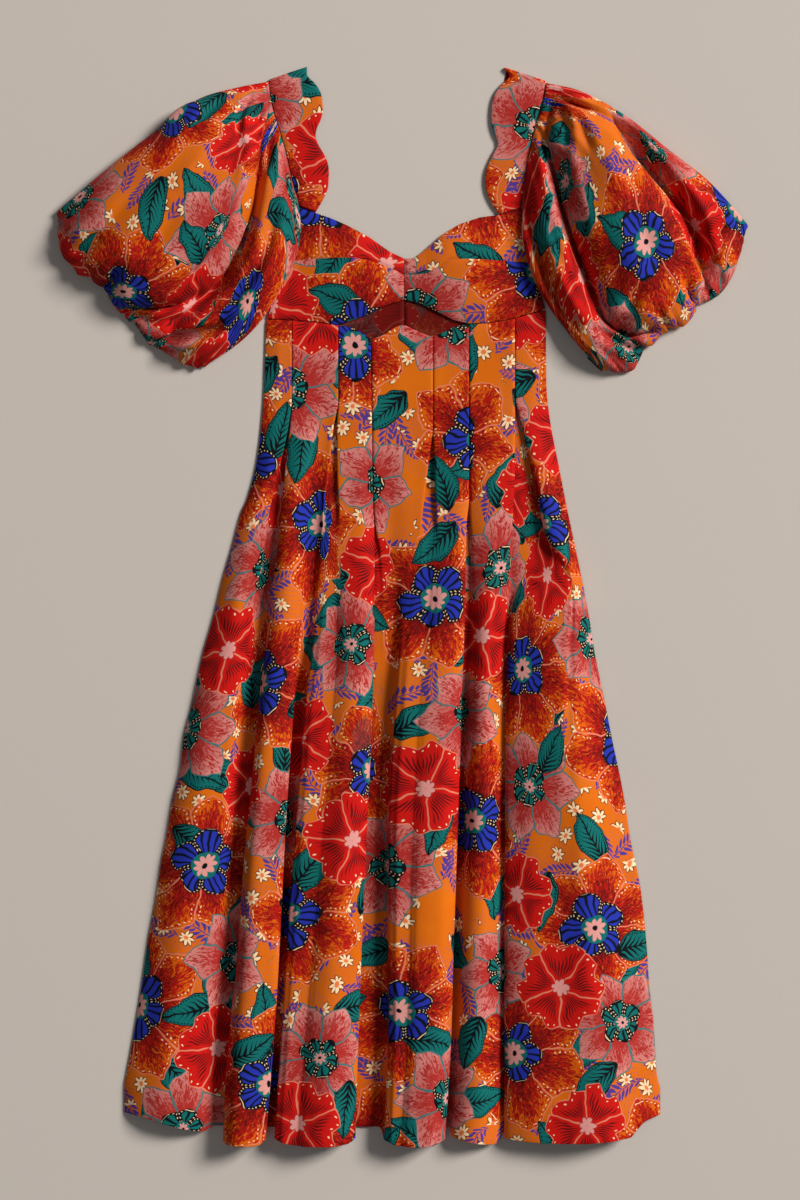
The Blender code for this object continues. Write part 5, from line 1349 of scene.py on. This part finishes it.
    def rosette(self, place, pick, reach):
        """A small teal rosette with pale pink petals."""
        inside = self.ring("rosette", place, pick, reach * ROSETTE_RING)[0]
        near = length_of(self.tree, place)
        self.lay((reach - near).above(0.0), TEAL)
        self.lay(inside.above(0.4, FINE), PINK)
        self.lay((reach * ROSETTE_MIDDLE - near).above(0.0), NIGHT)

    def heart(self, flower, wings, wing_reach, dye, rosette_reach):
        """A flower's middle: a ring of wings with a rosette on it."""
        place, pick, other = flower
        self.wings(wings, place, other, wing_reach, dye)
        self.rosette(place, pick, rosette_reach)

    def large_flower(self, name, repeat, shift):
        """Where a large flower's petals lie: its place and random numbers, its reach, its ring."""
        place, pick, other = self.scattered(repeat, shift, "flower")
        least, more = REACHES[name]
        reach = other * more + least
        return (place, pick, other), reach, self.ring(name, place, pick, reach)

    def orange_petals(self, repeat, shift):
        """Large flame-coloured petals, feathered in two reds, with a pale edge and dots inside it."""
        flower, reach, petal = self.large_flower("orange", repeat, shift)
        inside, along, _, share, _ = petal
        inner = mixed(self.tree, self.feather("flame", petal, reach), AMBER, FLAME)
        inner = mixed(self.tree, self.feather("deep flame", petal, reach), inner, FLAME_DEEP)
        row = self.dots("orange", inside, along) * share.above(DOTS_FROM["orange"], 0.01)
        inner = mixed(self.tree, row, inner, CREAM)
        inner = mixed(self.tree, inside.above(EDGES["orange"]), BLUSH, inner)
        self.lay(inside.above(0.0), inner)
        return flower

    def pink_petals(self, repeat, shift):
        """Large pale pink petals with coral feathering and a grey-green outline."""
        flower, reach, petal = self.large_flower("pink", repeat, shift)
        inside, _, _, share, _ = petal
        inner = mixed(self.tree, share.above(*PINK_FROM), PINK_DEEP, PINK)
        inner = mixed(self.tree, self.feather("coral", petal, reach), inner, CORAL)
        inner = mixed(self.tree, inside.above(EDGES["pink"]), PINK_OUTLINE, inner)
        self.lay(inside.above(0.0), inner)
        return flower

    def red_flower(self, repeat, shift, left_out):
        """A red flower with five notched petals, fine dark strokes, a pale edge and a small pink heart."""
        (place, pick, other), _, petal = self.large_flower("red", repeat, shift)
        inside, along, across, share, _ = petal
        chosen = pick.above(left_out, SHARP)
        stroke = abs((across / (along + STROKES_FOOT) * STROKES).math("SINE")) * STROKES_HEAVY
        strokes = stroke - abs(share - STROKES_MIDDLE) * STROKES_SHORT - STROKES_LEAST
        strokes = strokes.above(0.0, FINER) * inside.above(*STROKES_INSIDE)
        row = self.dots("red", inside, across) * share.above(DOTS_FROM["red"], 0.01)
        inner = mixed(self.tree, strokes, RED, RED_STROKE)
        inner = mixed(self.tree, row, inner, CREAM)
        inner = mixed(self.tree, inside.above(EDGES["red"]), BLUSH, inner)
        self.lay(inside.above(0.0) * chosen, inner)
        small = self.ring("small pink", place, other, SMALL_PINK_REACH)[0]
        self.lay(small.above(-0.6, FINE) * chosen, CORAL)
        self.lay(small.above(0.3, FINE) * chosen, PINK)


def print_group(groups):
    """The whole print as one group: its colour at a place on the cloth, given in millimetres."""
    tree, (cloth_in,), out = new_group("floral_print", [("Cloth", "vector")], [("Color", "colour")])
    sized = vector_math(tree, "DIVIDE", cloth_in, (PRINT_SCALE,) * 3)
    wobble = node(tree, "ShaderNodeTexNoise", ["Color"],
                  {"Vector": sized, "Scale": HAND_WOBBLE_SCALE, "Detail": 1.0}, noise_dimensions="2D")
    push = vector_math(tree, "SUBTRACT", wobble, (0.5, 0.5, 0.5))
    push = vector_math(tree, "MULTIPLY", push, (HAND_WOBBLE, HAND_WOBBLE, 0.0))
    cloth = node(tree, "ShaderNodeVectorRotate", ["Vector"],
                 {"Vector": vector_math(tree, "ADD", sized, push), "Angle": math.radians(PRINT_TURN)},
                 rotation_type="Z_AXIS")
    floral = FloralPrint(tree, cloth, groups)
    bunches = floral.noise(BLOTCHES, 0.0).above(0.46, SHARP)
    floral.sprigs(repeat=58.0, shift=(0.2, 0.4), left_out=0.12)
    floral.sprigs(repeat=51.0, shift=(5.7, 3.1), left_out=0.3)
    floral.daisies(repeat=25.0, shift=(0.0, 0.0), bunch=bunches, left_out=0.15)
    floral.leaves(repeat=0.5 * FLOWER_REPEAT, shift=(0.28, 0.22), left_out=0.35, length=60.0, half=15.5)
    orange = floral.orange_petals(repeat=FLOWER_REPEAT, shift=(0.0, 0.0))
    floral.leaves(repeat=0.61 * FLOWER_REPEAT, shift=(4.1, 7.6), left_out=0.45, length=62.0, half=16.0)
    pink = floral.pink_petals(repeat=FLOWER_REPEAT, shift=(0.5, 0.5))
    floral.leaves(repeat=0.87 * FLOWER_REPEAT, shift=(2.3, 5.2), left_out=0.35, length=58.0, half=15.0)
    floral.heart(orange, wings="five wings", wing_reach=38.0, dye=COBALT, rosette_reach=13.5)
    floral.heart(pink, wings="six wings", wing_reach=25.0, dye=TEAL, rosette_reach=8.5)
    floral.red_flower(repeat=FLOWER_REPEAT, shift=(0.5, 0.02), left_out=0.25)
    floral.red_flower(repeat=FLOWER_REPEAT, shift=(3.02, 7.5), left_out=0.72)
    plug(tree, floral.colour, out.inputs["Color"])
    return tree


def weave_group():
    """Plain weave with slightly uneven threads: its height, and a roughness that follows it."""
    tree, (cloth,), out = new_group("plain_weave", [("Cloth", "vector")], values("Height", "Roughness"))
    x, y = node(tree, "ShaderNodeSeparateXYZ", ["X", "Y"], {"Vector": cloth})
    slub = node(tree, "ShaderNodeTexNoise", ["Fac"], {"Vector": cloth, "Scale": SLUBS, "Detail": 2.0},
                noise_dimensions="2D")
    threads = ((x * THREADS).math("SINE") * (y * THREADS).math("SINE") + 1.0) * 0.5
    least, more = ROUGHNESS
    plug(tree, threads * THREAD_SHARE + slub * SLUB_SHARE, out.inputs["Height"])
    plug(tree, slub * more + least, out.inputs["Roughness"])
    return tree


def printed_cotton(name, floral, weave, shaded_wrong_side):
    """The cloth's material: its printed right side, or its wrong side in painted shade, deep maroon with
    little of the print.
    """
    material = bpy.data.materials.new(name)
    material.use_nodes = True
    tree = material.node_tree
    shader = tree.nodes["Principled BSDF"]
    place = node(tree, "ShaderNodeUVMap", ["UV"], {}, uv_map="cloth")
    cloth = vector_math(tree, "MULTIPLY", place, (1 / MM, 1 / MM, 0.0))
    colour = use(tree, floral, {"Cloth": cloth})[0]
    if shaded_wrong_side:
        # painted shade: the wrong side is darkened to deep maroon as if in shade, with a little of the
        # print
        colour = mixed(tree, PRINT_IN_PAINTED_SHADE, WRONG_SIDE_PAINTED_SHADE, colour)
    height, roughness = use(tree, weave, {"Cloth": cloth})
    bumped = node(tree, "ShaderNodeBump", ["Normal"],
                  {"Height": height, "Strength": THREAD_STRENGTH, "Distance": THREAD_RELIEF * MM})
    plug(tree, colour, shader.inputs["Base Color"])
    plug(tree, roughness, shader.inputs["Roughness"])
    plug(tree, bumped, shader.inputs["Normal"])
    sheen, sheen_roughness = COTTON_SHEEN
    shader.inputs["Specular IOR Level"].default_value = COTTON_SHINE
    shader.inputs["Sheen Weight"].default_value = sheen
    shader.inputs["Sheen Roughness"].default_value = sheen_roughness
    return material


def cloth_mesh(name, grid, flat, turned, closed):
    """A mesh over a grid of points, with their place on the flat cloth as its UV map."""
    rings, width = grid.shape[:2]
    r, k = np.meshgrid(np.arange(rings - 1), np.arange(width if closed else width - 1), indexing="ij")
    round_face = ((0, 0), (1, 0), (1, 1), (0, 1))
    corners = np.stack([np.stack([r + i, k + j], axis=-1) for i, j in round_face], axis=2)
    corners = corners.reshape(-1, 4, 2)
    if turned:
        corners = corners[:, ::-1]
    faces = corners[..., 0] * width + corners[..., 1] % width
    mesh = bpy.data.meshes.new(name)
    points = (grid.reshape(-1, 3) - (*CENTRE, 0.0)) * MM
    mesh.from_pydata(points.tolist(), [], faces.tolist())
    uv = mesh.uv_layers.new(name="cloth")
    places = flat[corners[..., 0], corners[..., 1]] * MM
    uv.uv.foreach_set("vector", places.reshape(-1).astype(np.float32))
    mesh.polygons.foreach_set("use_smooth", [True] * len(mesh.polygons))
    # the second material, for the inner wall, is the wrong side in painted shade
    for material in (RIGHT_SIDE, SHADED_WRONG_SIDE):
        mesh.materials.append(material)
    return mesh


def piece(name, surface, thickness, turned, closed):
    """A piece of cloth over its surface, cut from its own part of the printed cloth, with its wall."""
    grid, flat = surface
    shift_x, shift_y, angle = CUT_FROM[name]
    c, s = math.cos(math.radians(angle)), math.sin(math.radians(angle))
    flat = flat @ np.array([[c, s], [-s, c]]) + (shift_x, shift_y)
    mesh = cloth_mesh(name, grid, flat, turned, closed)
    made = bpy.data.objects.new("cloth_" + name, mesh)
    bpy.context.scene.collection.objects.link(made)
    wall = made.modifiers.new("wall", "SOLIDIFY")
    wall.thickness = thickness * MM
    wall.offset = 0.0
    wall.use_quality_normals = True
    # the wall's inner faces take the second material: the wrong side in painted shade
    wall.material_offset = 1
    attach(made, "root")
    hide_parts(name)
    return made


def pale_floor(size):
    """The plain warm-grey paper that the dress lies on."""
    mesh = bpy.data.meshes.new("floor")
    half = size / 2
    corners = [(-half, -half, 0), (half, -half, 0), (half, half, 0), (-half, half, 0)]
    mesh.from_pydata(corners, [], [(0, 1, 2, 3)])
    floor = bpy.data.objects.new("floor", mesh)
    bpy.context.scene.collection.objects.link(floor)
    paper = bpy.data.materials.new("warm_grey_paper")
    paper.use_nodes = True
    tree = paper.node_tree
    shader = tree.nodes["Principled BSDF"]
    place = node(tree, "ShaderNodeTexCoord", ["Object"], {})
    grain = node(tree, "ShaderNodeTexNoise", ["Fac"],
                 {"Vector": place, "Scale": PAPER_GRAIN, "Detail": 3.0})
    plug(tree, mixed(tree, grain, PAPER_DARK, PAPER), shader.inputs["Base Color"])
    shader.inputs["Roughness"].default_value = PAPER_ROUGHNESS
    shader.inputs["Specular IOR Level"].default_value = PAPER_SHINE
    mesh.materials.append(paper)


def soft_light(name, place, size, watts, tint):
    """A large square lamp turned to the middle of the dress."""
    lamp = bpy.data.lights.new(name, "AREA")
    lamp.size = size
    lamp.energy = watts
    lamp.color = tint
    made = bpy.data.objects.new(name, lamp)
    made.location = place
    made.rotation_euler = (-mathutils.Vector(place)).to_track_quat("-Z", "Y").to_euler()
    bpy.context.scene.collection.objects.link(made)


def camera_above(centre, height, seen):
    """A camera that looks straight down on a point and sees this length of the surface."""
    lens = bpy.data.cameras.new("camera")
    lens.sensor_fit = "VERTICAL"
    lens.sensor_height = 36.0
    lens.lens = lens.sensor_height * height / seen
    lens.clip_end = 100.0
    made = bpy.data.objects.new("camera", lens)
    made.location = (centre[0], centre[1], height)
    bpy.context.scene.collection.objects.link(made)
    bpy.context.scene.camera = made


def studio(tint, strength):
    """Even light from all round, and colours shown as they are."""
    world = bpy.data.worlds.new("studio")
    world.use_nodes = True
    background = world.node_tree.nodes["Background"]
    background.inputs["Color"].default_value = tint
    background.inputs["Strength"].default_value = strength
    bpy.context.scene.world = world
    bpy.context.scene.view_settings.view_transform = "Standard"


PAPER = ink(204, 195, 186)
PAPER_DARK = ink(196, 187, 178)

camera_above(VIEW_CENTRE, CAMERA_HEIGHT, VIEW_LENGTH)
pale_floor(PAPER_SIZE)
soft_light("key", KEY_PLACE, KEY_SIZE, KEY_WATTS, KEY_TINT)
soft_light("fill", FILL_PLACE, FILL_SIZE, FILL_WATTS, FILL_TINT)
studio(STUDIO_TINT, STUDIO_LIGHT)

groups = {"scatter": scatter_group(), "petals": petals_group(), "feather": feather_group(),
          "dots": dots_group()}
floral = print_group(groups)
weave = weave_group()
RIGHT_SIDE = printed_cotton("printed_cotton_right_side", floral, weave, shaded_wrong_side=False)
# the wrong side, darkened with painted shade
SHADED_WRONG_SIDE = printed_cotton("printed_cotton_wrong_side_in_painted_shade", floral, weave, shaded_wrong_side=True)

# each piece's surface and the thickness of its cloth
SURFACES = {
    # skirt
    "skirt_front": (skirt_front(), CLOTH),
    "skirt_back": (skirt_back(), CLOTH),
    # bodice
    "cup_upper_left": (cup(NECK_LEFT, CUP_SEAM_LEFT, FULL_LEFT, True), BODICE_CLOTH),
    "cup_lower_left": (cup(CUP_SEAM_LEFT, BODICE_EDGE_LEFT, FULL_LEFT, False), BODICE_CLOTH),
    "cup_upper_right": (cup(NECK_RIGHT, CUP_SEAM_RIGHT, FULL_RIGHT, True), BODICE_CLOTH),
    "cup_lower_right": (cup(CUP_SEAM_RIGHT, BODICE_EDGE_RIGHT, FULL_RIGHT, False), BODICE_CLOTH),
    "bodice_back_left": (bodice_back(-1), CLOTH),
    "bodice_back_right": (bodice_back(1), CLOTH),
    # straps
    "strap_left": (strap(STRAP_LEFT, STRAP_BACK_LEFT), BODICE_CLOTH),
    "strap_right": (strap(STRAP_RIGHT, STRAP_BACK_RIGHT), BODICE_CLOTH),
    # sleeves
    "sleeve_left": (sleeve(SLEEVE_LEFT, INWARD_LEFT, CREASES_LEFT, FOLDS_LEFT), CLOTH),
    "sleeve_right": (sleeve(SLEEVE_RIGHT, INWARD_RIGHT, CREASES_RIGHT, FOLDS_RIGHT), CLOTH),
}
# grids that run the other way round, so that the right side is outside, and grids that close on themselves
TURNED = ("skirt_back", "bodice_back_left", "bodice_back_right", "strap_right", "sleeve_right")
CLOSED = ("sleeve_left", "sleeve_right")
pieces = {name: piece(name, *made, turned=name in TURNED, closed=name in CLOSED)
          for name, made in SURFACES.items()}
